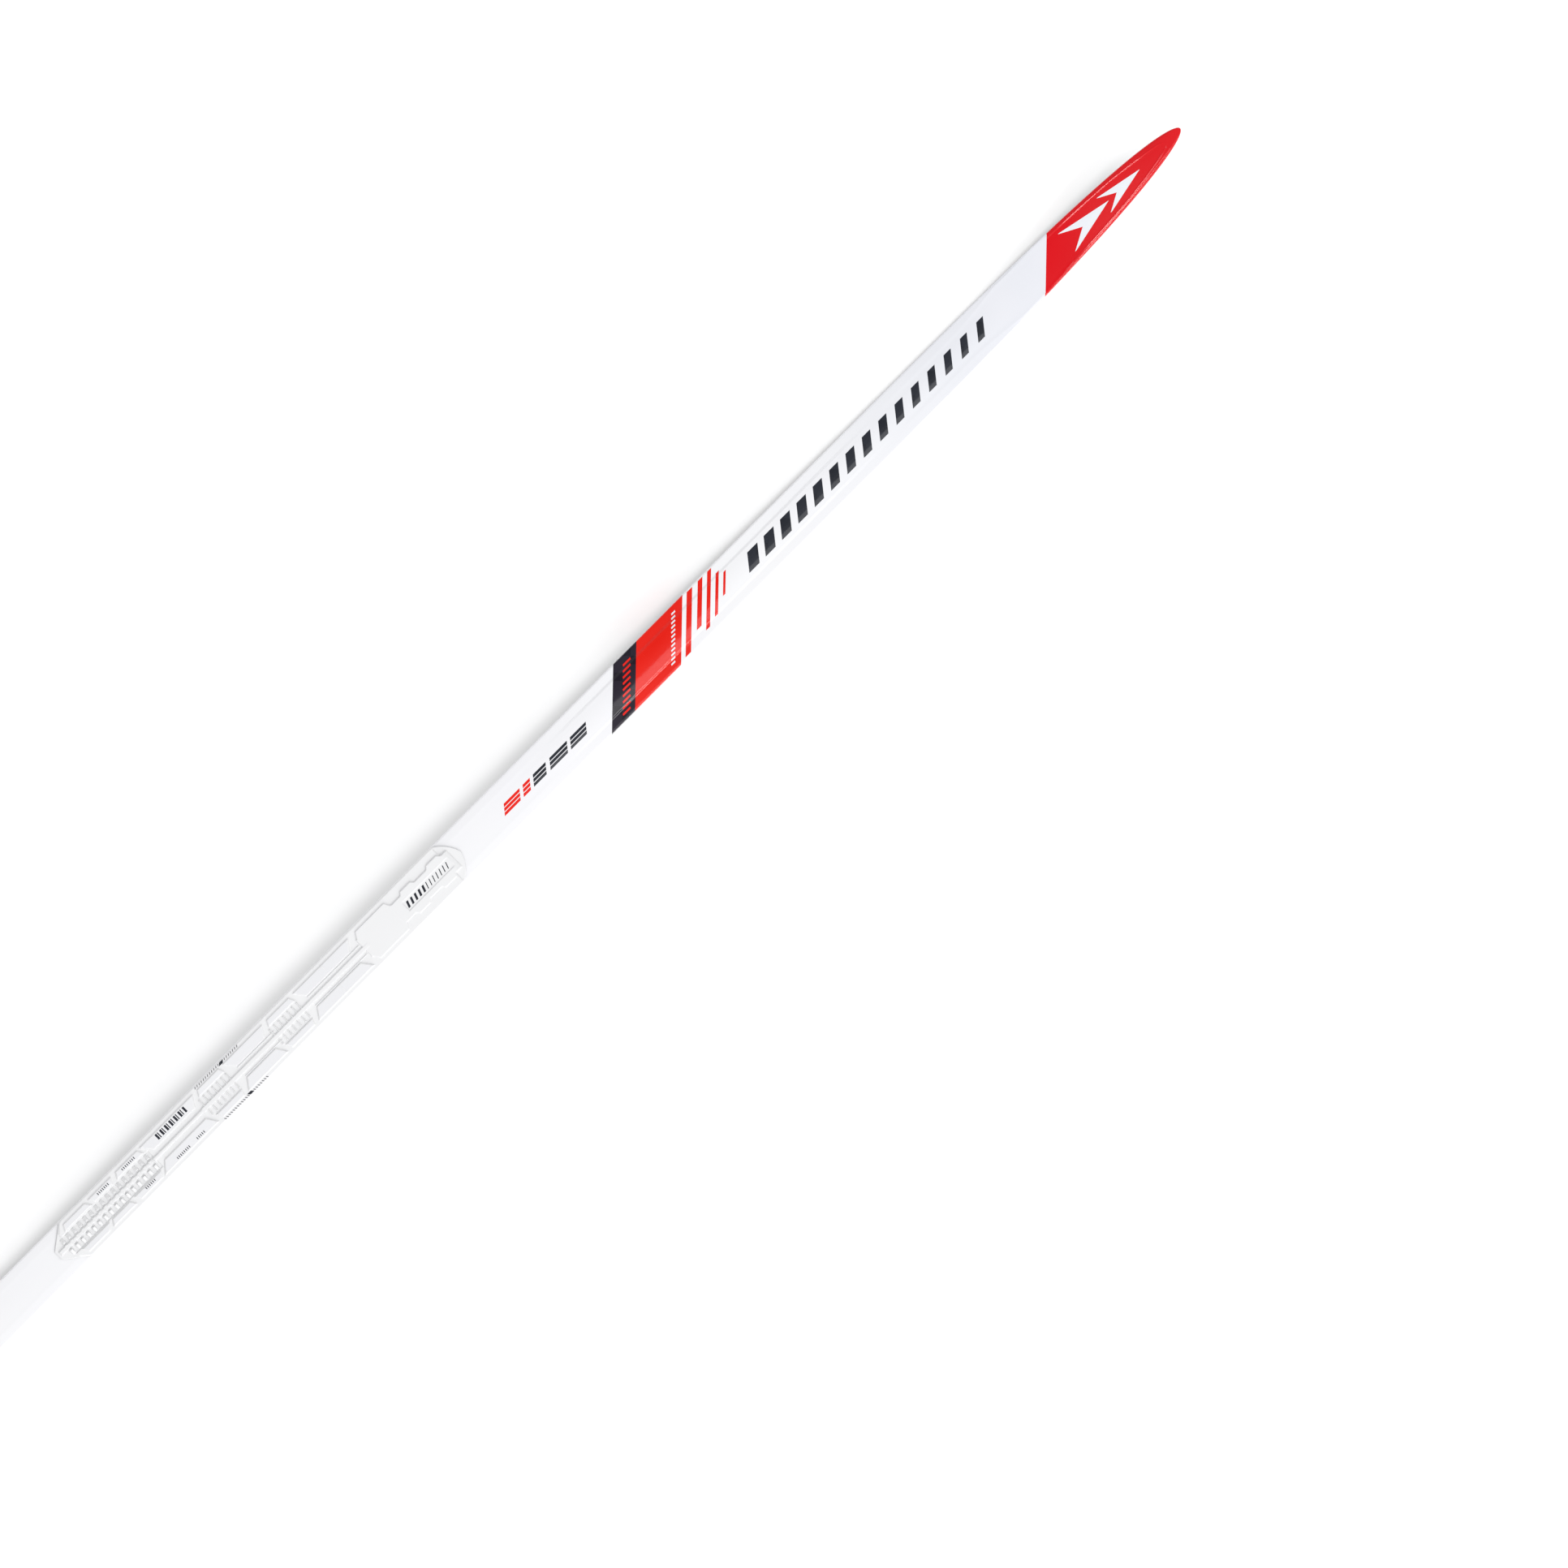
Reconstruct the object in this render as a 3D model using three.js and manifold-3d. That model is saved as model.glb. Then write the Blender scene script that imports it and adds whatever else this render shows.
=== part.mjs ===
// A classic cross country ski: cap construction over foam cores, with a long binding plate.
// Millimetres. +X points to the tip, +Y to the skier's left and +Z up.
// The ski stands on its two contact zones.
import * as THREE from 'three';
import { mergeVertices } from 'three/addons/utils/BufferGeometryUtils.js';
import Module from 'manifold-3d';

const wasm = await Module();
wasm.setup();

// ---- Driving dimensions ----

const chordLength = 2010;
const bodyHalfWidth = 22;
const tipX = chordLength / 2;
const tailX = -chordLength / 2;

// Side view: a camber arch between two flat contact zones, an upturned tip and a slightly raised tail.
const camber = 26;
const archFlat = [-30, 20];
const rearContact = [-900, -860];
const frontContact = [695, 735];
const tipRise = 57;
const tipCurve = 2.2;
const tailRise = 9;

// Thickness along the ski, as [place, thickness].
const thicknessStations = [
  [tailX, 7],
  [-880, 9.5],
  [-520, 20],
  [-120, 28],
  [30, 28],
  [420, 19],
  [715, 10],
  [860, 7],
  [tipX, 5.8],
];

// Plan view: a long drop-shaped tip and a short rounded tail.
const tipTaperLength = 600;
const tipTaperPower = 5;
const noseHalfWidth = 1.6;
const tailHalfWidth = 21;
const tailRoundLength = 14;
const tailRoundPower = 3;
const tailBlunt = 0.45;

// Cap section: side walls that lean in a little, a rounded shoulder,
// and a plateau with a crease at each side.
const sideLean = 0.8;
const shoulderRun = 1.6;
const shoulderHeight = 2.2;
const shoulderShare = 0.22; // of a thin section's height
const crownDrop = 0.3;
const creaseHalfWidth = 12.4;
const creaseShare = 0.6; // of a narrow section's half width
const flankDrop = 1.3;
const flankRange = [200, 335, 600, 720];
const fullShoulderWidth = 10;

// Layers, from the snow up.
const glueLine = 0.1;
const baseThickness = 1.4;
const glassPlyThickness = 0.4;
const carbonPlyThickness = 0.6;
const topSheetThickness = 0.5;
const capPlyThickness = 0.9;
const matThickness = 0.5;
const grooveHalfWidth = 3.2;
const grooveDepth = 0.9;
const grooveRange = [-960, -930, 660, 730];
const grooveFloorShare = 0.75;
const grooveShare = 0.5; // of a narrow base's half width

// Where layers begin and end along the ski.
const laminateRear = -989;
const plyFront = 1000;
const capPlyFront = 996;
const spacerFront = 970;
const tailSpacerRear = -978;
const buttGap = 0.3;
const scarfSlope = 0.9;
const scarfMiddle = 26;
const scarfHeights = [-40, 120];
const scarfMargin = 10;
const tailJoint = -862;
const waistRearJoint = -470;
const waistFrontJoint = 140;
const tipJoint = 790;
const matRange = [-440, 100];

// Fillers start beyond their joints, and the joints' slanted planes cut them to length.
const beyondEnds = 1100;

// Tail protector's tongue, held between the plies.
const tongueHalfWidth = 12;
const tongueRoot = 2;

// Binding plate, with heights measured from its seat on the ski.
const plateSeat = 0.5;
const platePad = { rear: -410, front: 84, halfWidth: 19.8, thickness: 0.3, edgeInset: 1.5 };
const plateRear = -419;
const plateFront = 92;
const plateHalfWidth = 21.5;
const plateRearHalfWidth = 5;
const plateRearChamfer = 22;
const plateNoseLength = 18;
const plateNosePower = 1.45;
const plateNoseTip = 2.5;
const flangeHeight = 1.3;
const edgeDraft = 0.4;
const barFoot = 0.4;
const deck = { rear: -400, front: 72, halfWidth: 20.8, height: 2.1, draft: 0.5 };
const bars = [
  { rear: -298, front: -190, halfWidth: 2.1, height: 3.9 },
  { rear: -236, front: -24, halfWidth: 2.6, height: 3.9 },
  { rear: -409, front: -297, halfWidth: 2, height: 2.8 },
  { rear: -417, front: -404, halfWidth: 2.5, height: 3 },
  { rear: -28, front: 13, halfWidth: 16.9, height: 3.7, draft: 0.5 },
  { rear: 12, front: 84, halfWidth: 10.9, height: 3.9, draft: 0.6 },
];
const noseChannel = { rear: 22, front: 80, halfWidth: 5.4, floor: 3.1 };
const noseHooks = [
  [23.6, 45],
  [56.4, 78],
];
const hookAcross = [6, 13.7];
const hookTaper = 4.4;
const padHeight = 3.7;
const padSliver = 0.6;
const ladders = [
  { rear: -409, pitch: 7.1, teeth: 16, length: 4, inner: 1.5, outer: 9.2 },
  { rear: -232, pitch: 5.6, teeth: 7, length: 1.9, inner: 2, outer: 9.3 },
  { rear: -142.7, pitch: 5.67, teeth: 7, length: 1.9, inner: 2, outer: 9.3 },
];
const toothHeight = 3.4;

// Raised pads at both sides, as [rear, front] along the inner and the outer edge.
const smallPadAcross = [10.5, 17.3];
const smallPads = [
  { inner: [-400, -364.3], outer: [-396.6, -369.4] },
  { inner: [-361.4, -338.9], outer: [-365.8, -335.2] },
  { inner: [-333.8, -298.9], outer: [-330.1, -302.5] },
  { inner: [-229.8, -196.2], outer: [-226, -198.5] },
  { inner: [-141.4, -106.5], outer: [-138, -109.5] },
];
const largePadAcross = [6.2, 17.3];
const largePads = [
  { inner: [-290.9, -238], outer: [-300.5, -231] },
  { inner: [-186.2, -149.5], outer: [-194.5, -142.7] },
  { inner: [-97.5, -41.7], outer: [-105, -33.5] },
];

// ---- Shape of the ski ----

// A smooth curve through rising or falling points that never overshoots them.
function through(points, x) {
  const last = points.length - 1;
  const steepness = (i) => (points[i + 1][1] - points[i][1]) / (points[i + 1][0] - points[i][0]);
  const slope = (i) => {
    if (i === 0 || i === last) return 0;
    const before = steepness(i - 1);
    const after = steepness(i);
    return before * after > 0 ? (2 * before * after) / (before + after) : 0;
  };
  let i = 0;
  while (i < last - 1 && x > points[i + 1][0]) i += 1;
  const [x0, y0] = points[i];
  const [x1, y1] = points[i + 1];
  const span = x1 - x0;
  const t = THREE.MathUtils.clamp((x - x0) / span, 0, 1);
  const rise = t * t * (3 - 2 * t);
  const leave = t * (1 - t) * (1 - t) * slope(i);
  const arrive = t * t * (t - 1) * slope(i + 1);
  return y0 + (y1 - y0) * rise + span * (leave + arrive);
}

function thickness(x) {
  return through(thicknessStations, x);
}

// 1 between the two middle places, fading to 0 at the outer ones.
function fade([start, fullFrom, fullTo, end], x) {
  return THREE.MathUtils.smoothstep(x, start, fullFrom) * (1 - THREE.MathUtils.smoothstep(x, fullTo, end));
}

// Height of the running surface over flat ground.
function baseHeight(x) {
  const [archRear, archFront] = archFlat;
  if (x > frontContact[1]) {
    return tipRise * ((x - frontContact[1]) / (tipX - frontContact[1])) ** tipCurve;
  }
  if (x >= frontContact[0]) return 0;
  const arch = (share) => (camber * (1 + Math.cos(Math.PI * share))) / 2;
  if (x > archFront) return arch((x - archFront) / (frontContact[0] - archFront));
  if (x >= archRear) return camber;
  if (x > rearContact[1]) return arch((archRear - x) / (archRear - rearContact[1]));
  if (x >= rearContact[0]) return 0;
  return tailRise * ((rearContact[0] - x) / (rearContact[0] - tailX)) ** 2;
}

// Half the width of the ski at a place along it.
function halfWidth(x) {
  const fromTip = tipX - x;
  const fromTail = x - tailX;
  if (fromTip < tipTaperLength) {
    const taper = 1 - (1 - fromTip / tipTaperLength) ** tipTaperPower;
    return Math.max(noseHalfWidth, bodyHalfWidth * Math.sqrt(taper));
  }
  const tailLength = rearContact[0] - tailX;
  const widening = Math.min(1, fromTail / tailLength);
  const straight = tailHalfWidth + (bodyHalfWidth - tailHalfWidth) * widening;
  const round = 1 - Math.min(1, fromTail / tailRoundLength);
  const rounded = (1 - round ** tailRoundPower) ** (1 / tailRoundPower);
  return straight * THREE.MathUtils.lerp(tailBlunt, 1, rounded);
}

// ---- Solids from rings of points ----

// Joins equal rings of [x, y, z] points into one closed skin and closes both ends.
// Each panel is split from its point nearer the centre line, so that neighbouring layers split alike.
function loft(rings) {
  const flat = (ring) => ring.map(([, y, z]) => new THREE.Vector2(y, z));
  const ordered = THREE.ShapeUtils.area(flat(rings[0])) < 0 ? rings.map((r) => [...r].reverse()) : rings;
  const count = ordered[0].length;
  const index = [];
  for (let i = 0; i + 1 < ordered.length; i += 1) {
    for (let j = 0; j < count; j += 1) {
      const a = i * count + j;
      const b = i * count + ((j + 1) % count);
      const outward = Math.abs(ordered[i][j][1]) <= Math.abs(ordered[i][(j + 1) % count][1]);
      if (outward) index.push(a, b, b + count, a, b + count, a + count);
      else index.push(a, b, a + count, b, b + count, a + count);
    }
  }
  const close = (ring, start, faceBack) => {
    const outline = flat(ring);
    for (const [a, b, c] of THREE.ShapeUtils.triangulateShape(outline, [])) {
      const facesFront = THREE.ShapeUtils.area([outline[a], outline[b], outline[c]]) > 0;
      const corners = facesFront === faceBack ? [a, c, b] : [a, b, c];
      index.push(...corners.map((corner) => corner + start));
    }
  };
  close(ordered[0], 0, true);
  close(ordered[ordered.length - 1], (ordered.length - 1) * count, false);
  const geometry = new THREE.BufferGeometry();
  geometry.setAttribute('position', new THREE.Float32BufferAttribute(ordered.flat(2), 3));
  geometry.setIndex(index);
  return geometry;
}

// One half of the cap's section at x, inset from the outer skin, foot first.
// Each point is [distance from the centre line, height].
function capHalf(x, inset) {
  const half = halfWidth(x) - inset;
  const top = thickness(x) - inset;
  const scale = Math.min(1, half / fullShoulderWidth);
  const flank = flankDrop * fade(flankRange, x);
  const drop = Math.min(shoulderHeight, shoulderShare * top);
  const crease = Math.min(creaseHalfWidth, creaseShare * half);
  return [
    [half, layerFoot],
    [half - sideLean * scale, top - crownDrop - flank - drop],
    [half - (sideLean + shoulderRun) * scale, top - crownDrop - flank],
    [crease, top - crownDrop / 2],
    [0, top],
  ];
}

// The whole open section, from the right foot over the crown to the left foot.
function capSection(x, inset) {
  const left = capHalf(x, inset);
  const right = left.slice(0, -1).map(([y, z]) => [-y, z]);
  return [...right, ...left.reverse()];
}

// Lifts a section's [y, z] points onto the running surface at x.
function lift(x, section) {
  return section.map(([y, z]) => [x, y, z + baseHeight(x)]);
}

// Places where every long layer has a ring, so that neighbours bend alike.
const stations = [
  tailX,
  tailX + 2,
  tailX + 5,
  tailX + 10,
  laminateRear,
  tailSpacerRear,
  -940,
  ...rearContact,
  -800,
  -730,
  -660,
  -590,
  -530,
  -480,
  matRange[0],
  ...Array.from({ length: 12 }, (_, i) => -410 + i * 35),
  ...archFlat,
  60,
  84,
  matRange[1],
  160,
  230,
  300,
  370,
  450,
  530,
  610,
  ...frontContact,
  775,
  805,
  835,
  865,
  890,
  912,
  934,
  952,
  spacerFront,
  982,
  991,
  capPlyFront,
  plyFront,
  1003,
  tipX,
].sort((a, b) => a - b);

function between(from, to) {
  return stations.filter((x) => x >= from && x <= to);
}

const glassPlyFoot = baseThickness + glueLine;
const carbonPlyFoot = glassPlyFoot + glassPlyThickness + glueLine;
const layerFoot = carbonPlyFoot + carbonPlyThickness + glueLine;
const capInset = topSheetThickness + glueLine;
const coreInset = capInset + capPlyThickness + 2 * glueLine;

// ---- Layers ----

function runningBase() {
  return loft(
    between(laminateRear, tipX).map((x) => {
      const half = halfWidth(x);
      const groove = Math.min(grooveHalfWidth, grooveShare * half);
      const depth = grooveDepth * fade(grooveRange, x);
      return lift(x, [
        [-half, 0],
        [-groove, 0],
        [-grooveFloorShare * groove, depth],
        [grooveFloorShare * groove, depth],
        [groove, 0],
        [half, 0],
        [half, baseThickness],
        [-half, baseThickness],
      ]);
    }),
  );
}

function flatPly(foot, height) {
  return loft(
    between(laminateRear, plyFront).map((x) => {
      const half = halfWidth(x);
      return lift(x, [
        [-half, foot],
        [half, foot],
        [half, foot + height],
        [-half, foot + height],
      ]);
    }),
  );
}

// A skin over the crown and down both sides, open towards the base.
function capShell(inset, height, front) {
  return loft(
    between(laminateRear, front).map((x) => {
      const inner = capSection(x, inset + height).reverse();
      return lift(x, [...capSection(x, inset), ...inner]);
    }),
  );
}

// Fillers are cut along slanted scarf joints, each plane leaning forward as it rises.
function scarfBlock(rear, front) {
  const [low, high] = scarfHeights;
  const wide = bodyHalfWidth + scarfMargin;
  const corner = (x, y, z) => [x + scarfSlope * (z - scarfMiddle), y, z];
  const wall = (x) => [
    corner(x, -wide, low),
    corner(x, wide, low),
    corner(x, wide, high),
    corner(x, -wide, high),
  ];
  return loft([wall(rear + buttGap / 2), wall(front - buttGap / 2)]);
}

function filler(from, to, joints, inset = coreInset) {
  const whole = loft(between(from, to).map((x) => lift(x, capSection(x, inset))));
  return asGeometry(asSolid(whole).intersect(asSolid(scarfBlock(...joints))));
}

// The reinforcing mat lies on the waist core, as wide as the plateau.
function bindingMat() {
  const top = (x) => thickness(x) - coreInset;
  return loft(
    between(...matRange).map((x) =>
      lift(x, [
        [-creaseHalfWidth, top(x) - crownDrop / 2 - matThickness],
        [0, top(x) - matThickness],
        [creaseHalfWidth, top(x) - crownDrop / 2 - matThickness],
        [creaseHalfWidth, top(x) - crownDrop / 2],
        [0, top(x)],
        [-creaseHalfWidth, top(x) - crownDrop / 2],
      ]),
    ),
  );
}

// A block with the ski's own outline, and a tongue that goes in between the plies.
function tailProtector() {
  const joint = laminateRear - buttGap;
  const block = (x) => lift(x, [[-halfWidth(x), 0], ...capSection(x, 0), [halfWidth(x), 0]]);
  const places = [...stations.filter((x) => x < joint), joint];
  const tongueEnd = tailSpacerRear - buttGap;
  const tongue = (x) => {
    const floor = layerFoot + glueLine;
    const roof = thickness(x) - coreInset - crownDrop - glueLine;
    const half = tongueHalfWidth;
    return lift(x, [
      [-half, floor],
      [half, floor],
      [half, roof],
      [-half, roof],
    ]);
  };
  const outside = asSolid(loft(places.map(block)));
  const inside = asSolid(loft([joint - tongueRoot, laminateRear, tongueEnd].map(tongue)));
  return asGeometry(outside.add(inside));
}

// ---- Booleans ----

function asSolid(geometry) {
  const bare = new THREE.BufferGeometry();
  bare.setAttribute('position', geometry.getAttribute('position'));
  bare.setIndex(geometry.getIndex());
  const merged = mergeVertices(bare, 1e-4);
  const vertProperties = new Float32Array(merged.getAttribute('position').array);
  const triVerts = new Uint32Array(merged.getIndex().array);
  return new wasm.Manifold(new wasm.Mesh({ numProp: 3, vertProperties, triVerts }));
}

function asGeometry(solid) {
  const { vertProperties, triVerts } = solid.getMesh();
  const geometry = new THREE.BufferGeometry();
  geometry.setAttribute('position', new THREE.BufferAttribute(new Float32Array(vertProperties), 3));
  geometry.setIndex([...triVerts]);
  return geometry;
}

// ---- Binding plate ----

const plateSpacing = 45;

// Height of the plate's seat over flat ground.
function seatHeight(x) {
  return baseHeight(x) + thickness(x) + plateSeat;
}

// Places from rear to front, no further apart than the plate can follow the ski's bend.
function steps(rear, front) {
  const count = Math.ceil((front - rear) / plateSpacing);
  return Array.from({ length: count + 1 }, (_, i) => rear + ((front - rear) * i) / count);
}

function seated(x, section) {
  return section.map(([y, z]) => [x, y, z + seatHeight(x)]);
}

// A bar along the plate whose upper face is narrower by the draft on each side.
function bar({ rear, front, halfWidth: half, height, draft = 0.3 }) {
  return loft(
    steps(rear, front).map((x) =>
      seated(x, [
        [-half, barFoot],
        [half, barFoot],
        [half - draft, height],
        [draft - half, height],
      ]),
    ),
  );
}

// Half the width of the plate's outline: chamfered at the rear and rounded at the nose.
function plateHalf(x) {
  const fromNose = (x - (plateFront - plateNoseLength)) / plateNoseLength;
  if (fromNose > 0) {
    const round = (1 - fromNose ** plateNosePower) ** (1 / plateNosePower);
    return Math.max(plateNoseTip, plateHalfWidth * round);
  }
  const chamfer = THREE.MathUtils.clamp((x - plateRear) / plateRearChamfer, 0, 1);
  return THREE.MathUtils.lerp(plateRearHalfWidth, plateHalfWidth, chamfer);
}

function plateFlange() {
  const nose = [0.35, 0.6, 0.78, 0.9, 0.97, 1].map((t) => plateFront - plateNoseLength * (1 - t));
  const places = [plateRear, ...steps(plateRear + plateRearChamfer, plateFront - plateNoseLength), ...nose];
  return loft(
    places.map((x) => {
      const half = plateHalf(x);
      return seated(x, [
        [-half, 0],
        [half, 0],
        [half - edgeDraft, flangeHeight],
        [edgeDraft - half, flangeHeight],
      ]);
    }),
  );
}

// A block that stands on the plate at one side, between two distances from the centre line.
function sideBlock(x, side, near, far, top) {
  return seated(x, [
    [side * near, barFoot],
    [side * far, barFoot],
    [side * far, top],
    [side * near, top],
  ]);
}

// A hook that stands out of the nose body, tapered at its ends.
function noseHook([rear, front], side, height) {
  const [near, far] = hookAcross;
  const body = far - hookTaper / 2;
  return loft([
    sideBlock(rear, side, near, body, height),
    sideBlock(rear + hookTaper, side, near, far, height),
    sideBlock(front - hookTaper, side, near, far, height),
    sideBlock(front, side, near, body, height),
  ]);
}

// A raised pad with slanted ends. It begins and ends as a sliver along its longer edge.
function raisedPad({ inner, outer }, [near, far], side) {
  const innerLonger = inner[0] < outer[0];
  const [longer, shorter] = innerLonger ? [inner, outer] : [outer, inner];
  const sliver = innerLonger ? [near, near + padSliver] : [far - padSliver, far];
  return loft([
    sideBlock(longer[0], side, ...sliver, padHeight),
    ...steps(...shorter).map((x) => sideBlock(x, side, near, far, padHeight)),
    sideBlock(longer[1], side, ...sliver, padHeight),
  ]);
}

function ladderTeeth({ rear, pitch, teeth, length, inner, outer }, side) {
  return Array.from({ length: teeth }, (_, i) => {
    const start = rear + i * pitch;
    return loft([start, start + length].map((x) => sideBlock(x, side, inner, outer, toothHeight)));
  });
}

function bindingPlate() {
  const noseHeight = bars[bars.length - 1].height;
  const sides = [-1, 1];
  const raised = sides.flatMap((side) => [
    ...smallPads.map((pad) => raisedPad(pad, smallPadAcross, side)),
    ...largePads.map((pad) => raisedPad(pad, largePadAcross, side)),
    ...ladders.flatMap((ladder) => ladderTeeth(ladder, side)),
    ...noseHooks.map((ends) => noseHook(ends, side, noseHeight)),
  ]);
  const pieces = [bar(deck), ...bars.map(bar), ...raised];
  const body = pieces.reduce((solid, piece) => solid.add(asSolid(piece)), asSolid(plateFlange()));
  const { rear, front, halfWidth: half, floor } = noseChannel;
  const channel = loft(
    steps(rear, front).map((x) =>
      seated(x, [
        [-half, floor],
        [half, floor],
        [half, noseHeight + 1],
        [-half, noseHeight + 1],
      ]),
    ),
  );
  return asGeometry(body.subtract(asSolid(channel)));
}

// The adhesive pad follows the crown of the top sheet.
function plateGluePad() {
  const { rear, front, halfWidth: half, thickness: height, edgeInset } = platePad;
  const places = [rear, ...between(rear, front), front].filter((x, i, all) => all.indexOf(x) === i);
  return loft(
    places.map((x) => {
      const foot = thickness(x) + glueLine;
      const edge = Math.min(half, plateHalf(x) - edgeInset);
      return lift(x, [
        [-edge, foot],
        [edge, foot],
        [edge, foot + height],
        [-edge, foot + height],
      ]);
    }),
  );
}

// ---- Assembly ----

const white = 0xf2f2f5;
const finishes = {
  base: { color: 0x17181a, roughness: 0.55 },
  glass: { color: 0xb9bd9a, roughness: 0.45 },
  carbon: { color: 0x1c1d20, roughness: 0.35 },
  lightFoam: { color: 0xe9dfc4, roughness: 0.95 },
  denseFoam: { color: 0xd9c48c, roughness: 0.9 },
  spacer: { color: 0x2a2b2e, roughness: 0.6 },
  mat: { color: 0xc9ccc2, roughness: 0.8 },
  lacquer: { color: white, roughness: 0.22 },
  glue: { color: 0x8d8f92, roughness: 0.5 },
  plate: { color: 0xeeeeef, roughness: 0.38 },
  protector: { color: 0x202124, roughness: 0.6 },
};

const ski = new THREE.Group();

function addPiece(name, geometry, finish) {
  geometry.computeVertexNormals();
  const material = new THREE.MeshStandardMaterial({ ...finishes[finish], metalness: 0 });
  const piece = new THREE.Mesh(geometry, material);
  piece.name = name;
  ski.add(piece);
}

const matInset = coreInset + matThickness + glueLine;

addPiece('running_base', runningBase(), 'base');
addPiece('base_glass_ply', flatPly(glassPlyFoot, glassPlyThickness), 'glass');
addPiece('base_carbon_ply', flatPly(carbonPlyFoot, carbonPlyThickness), 'carbon');
addPiece('tail_spacer', filler(tailSpacerRear, -800, [-beyondEnds, tailJoint]), 'spacer');
addPiece('core_tail', filler(-940, -440, [tailJoint, waistRearJoint]), 'lightFoam');
addPiece('core_waist', filler(-530, 230, [waistRearJoint, waistFrontJoint], matInset), 'denseFoam');
addPiece('core_shovel', filler(100, 835, [waistFrontJoint, tipJoint]), 'lightFoam');
addPiece('tip_spacer', filler(735, spacerFront, [tipJoint, beyondEnds]), 'spacer');
addPiece('binding_mat', bindingMat(), 'mat');
addPiece('cap_carbon_ply', capShell(capInset, capPlyThickness, capPlyFront), 'carbon');
addPiece('top_sheet', capShell(0, topSheetThickness, tipX), 'lacquer');
addPiece('plate_glue_pad', plateGluePad(), 'glue');
addPiece('binding_plate', bindingPlate(), 'plate');
addPiece('tail_protector', tailProtector(), 'protector');

export default ski;
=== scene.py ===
import math

import bpy
import numpy as np
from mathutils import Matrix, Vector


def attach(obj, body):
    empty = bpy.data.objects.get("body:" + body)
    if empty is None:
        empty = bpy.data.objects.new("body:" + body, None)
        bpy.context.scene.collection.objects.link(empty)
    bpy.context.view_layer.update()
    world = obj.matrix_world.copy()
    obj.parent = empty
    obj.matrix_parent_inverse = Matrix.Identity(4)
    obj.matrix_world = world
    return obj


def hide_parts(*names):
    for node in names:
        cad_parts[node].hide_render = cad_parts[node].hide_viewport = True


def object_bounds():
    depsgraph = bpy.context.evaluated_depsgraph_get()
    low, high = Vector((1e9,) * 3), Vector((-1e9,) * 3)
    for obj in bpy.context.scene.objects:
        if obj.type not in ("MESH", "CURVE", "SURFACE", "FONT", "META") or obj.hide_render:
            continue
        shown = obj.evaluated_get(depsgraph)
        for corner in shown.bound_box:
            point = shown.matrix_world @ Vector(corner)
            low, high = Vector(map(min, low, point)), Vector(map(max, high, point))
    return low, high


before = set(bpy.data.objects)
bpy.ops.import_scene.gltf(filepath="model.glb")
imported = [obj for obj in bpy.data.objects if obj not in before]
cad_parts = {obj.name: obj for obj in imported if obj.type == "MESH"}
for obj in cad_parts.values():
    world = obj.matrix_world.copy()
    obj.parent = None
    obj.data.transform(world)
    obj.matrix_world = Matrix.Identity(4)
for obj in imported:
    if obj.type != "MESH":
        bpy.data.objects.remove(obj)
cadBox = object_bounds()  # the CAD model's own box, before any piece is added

# A classic cross country ski: white lacquered cap with red and black print, and a long white binding plate.
# Shapes are worked out in millimetres in the ski's own frame (+X to the tip, +Y left) and made in metres.

mm = 0.001
tailX = cadBox[0][0] / mm
tipX = cadBox[1][0] / mm


def smooth(low, high, value):  # 0 below low, 1 above high, eased between
    t = np.clip((np.asarray(value, float) - low) / (high - low), 0, 1)
    return t * t * (3 - 2 * t)


def fade(span, x):  # 1 between the two middle places, fading to 0 at the outer ones
    return smooth(span[0], span[1], x) * (1 - smooth(span[2], span[3], x))


def through(points, x):  # smooth curve through rising or falling points, never overshooting them
    px, py = np.array(points, float).T
    steep = np.diff(py) / np.diff(px)
    product = steep[:-1] * steep[1:]
    total = np.where(product > 0, steep[:-1] + steep[1:], 1)
    slope = np.zeros(len(px))
    slope[1:-1] = np.where(product > 0, 2 * product / total, 0)
    i = np.clip(np.searchsorted(px, x) - 1, 0, len(px) - 2)
    span = px[i + 1] - px[i]
    t = np.clip((x - px[i]) / span, 0, 1)
    bend = t * (1 - t) ** 2 * slope[i] + t * t * (t - 1) * slope[i + 1]
    return py[i] + (py[i + 1] - py[i]) * t * t * (3 - 2 * t) + span * bend


skiShape = dict(
    halfWidth=22,
    camber=26,
    archFlat=(-30, 20),  # the top of the camber arch
    rearContact=(-900, -860),
    frontContact=(695, 735),
    tipRise=57,
    tipCurve=2.2,
    tailRise=9,
    tailCurve=2,
    tipTaper=600,
    tipPower=5,
    noseHalf=0.35,
    tailHalf=21,
    laminateRear=-989,  # where the layers end and the tail protector begins
    thickness=[
        (tailX, 7),
        (-880, 9.5),
        (-520, 20),
        (-120, 28),
        (30, 28),
        (420, 19),
        (715, 10),
        (860, 7),
        (tipX, 5.8),
    ],
)


def thickness(x):
    return through(skiShape["thickness"], x)


def baseHeight(x):  # running surface over flat ground
    s = skiShape
    x = np.asarray(x, float)
    rearStart, rearEnd = s["rearContact"]
    frontStart, frontEnd = s["frontContact"]
    archRear, archFront = s["archFlat"]
    ahead = np.clip((x - archFront) / (frontStart - archFront), 0, 1)
    behind = np.clip((archRear - x) / (archRear - rearEnd), 0, 1)
    arch = s["camber"] * (1 + np.cos(math.pi * np.maximum(ahead, behind))) / 2
    tip = s["tipRise"] * (np.clip((x - frontEnd) / (tipX - frontEnd), 0, 1)) ** s["tipCurve"]
    tail = s["tailRise"] * (np.clip((rearStart - x) / (rearStart - tailX), 0, 1)) ** s["tailCurve"]
    return arch + tip + tail


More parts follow.
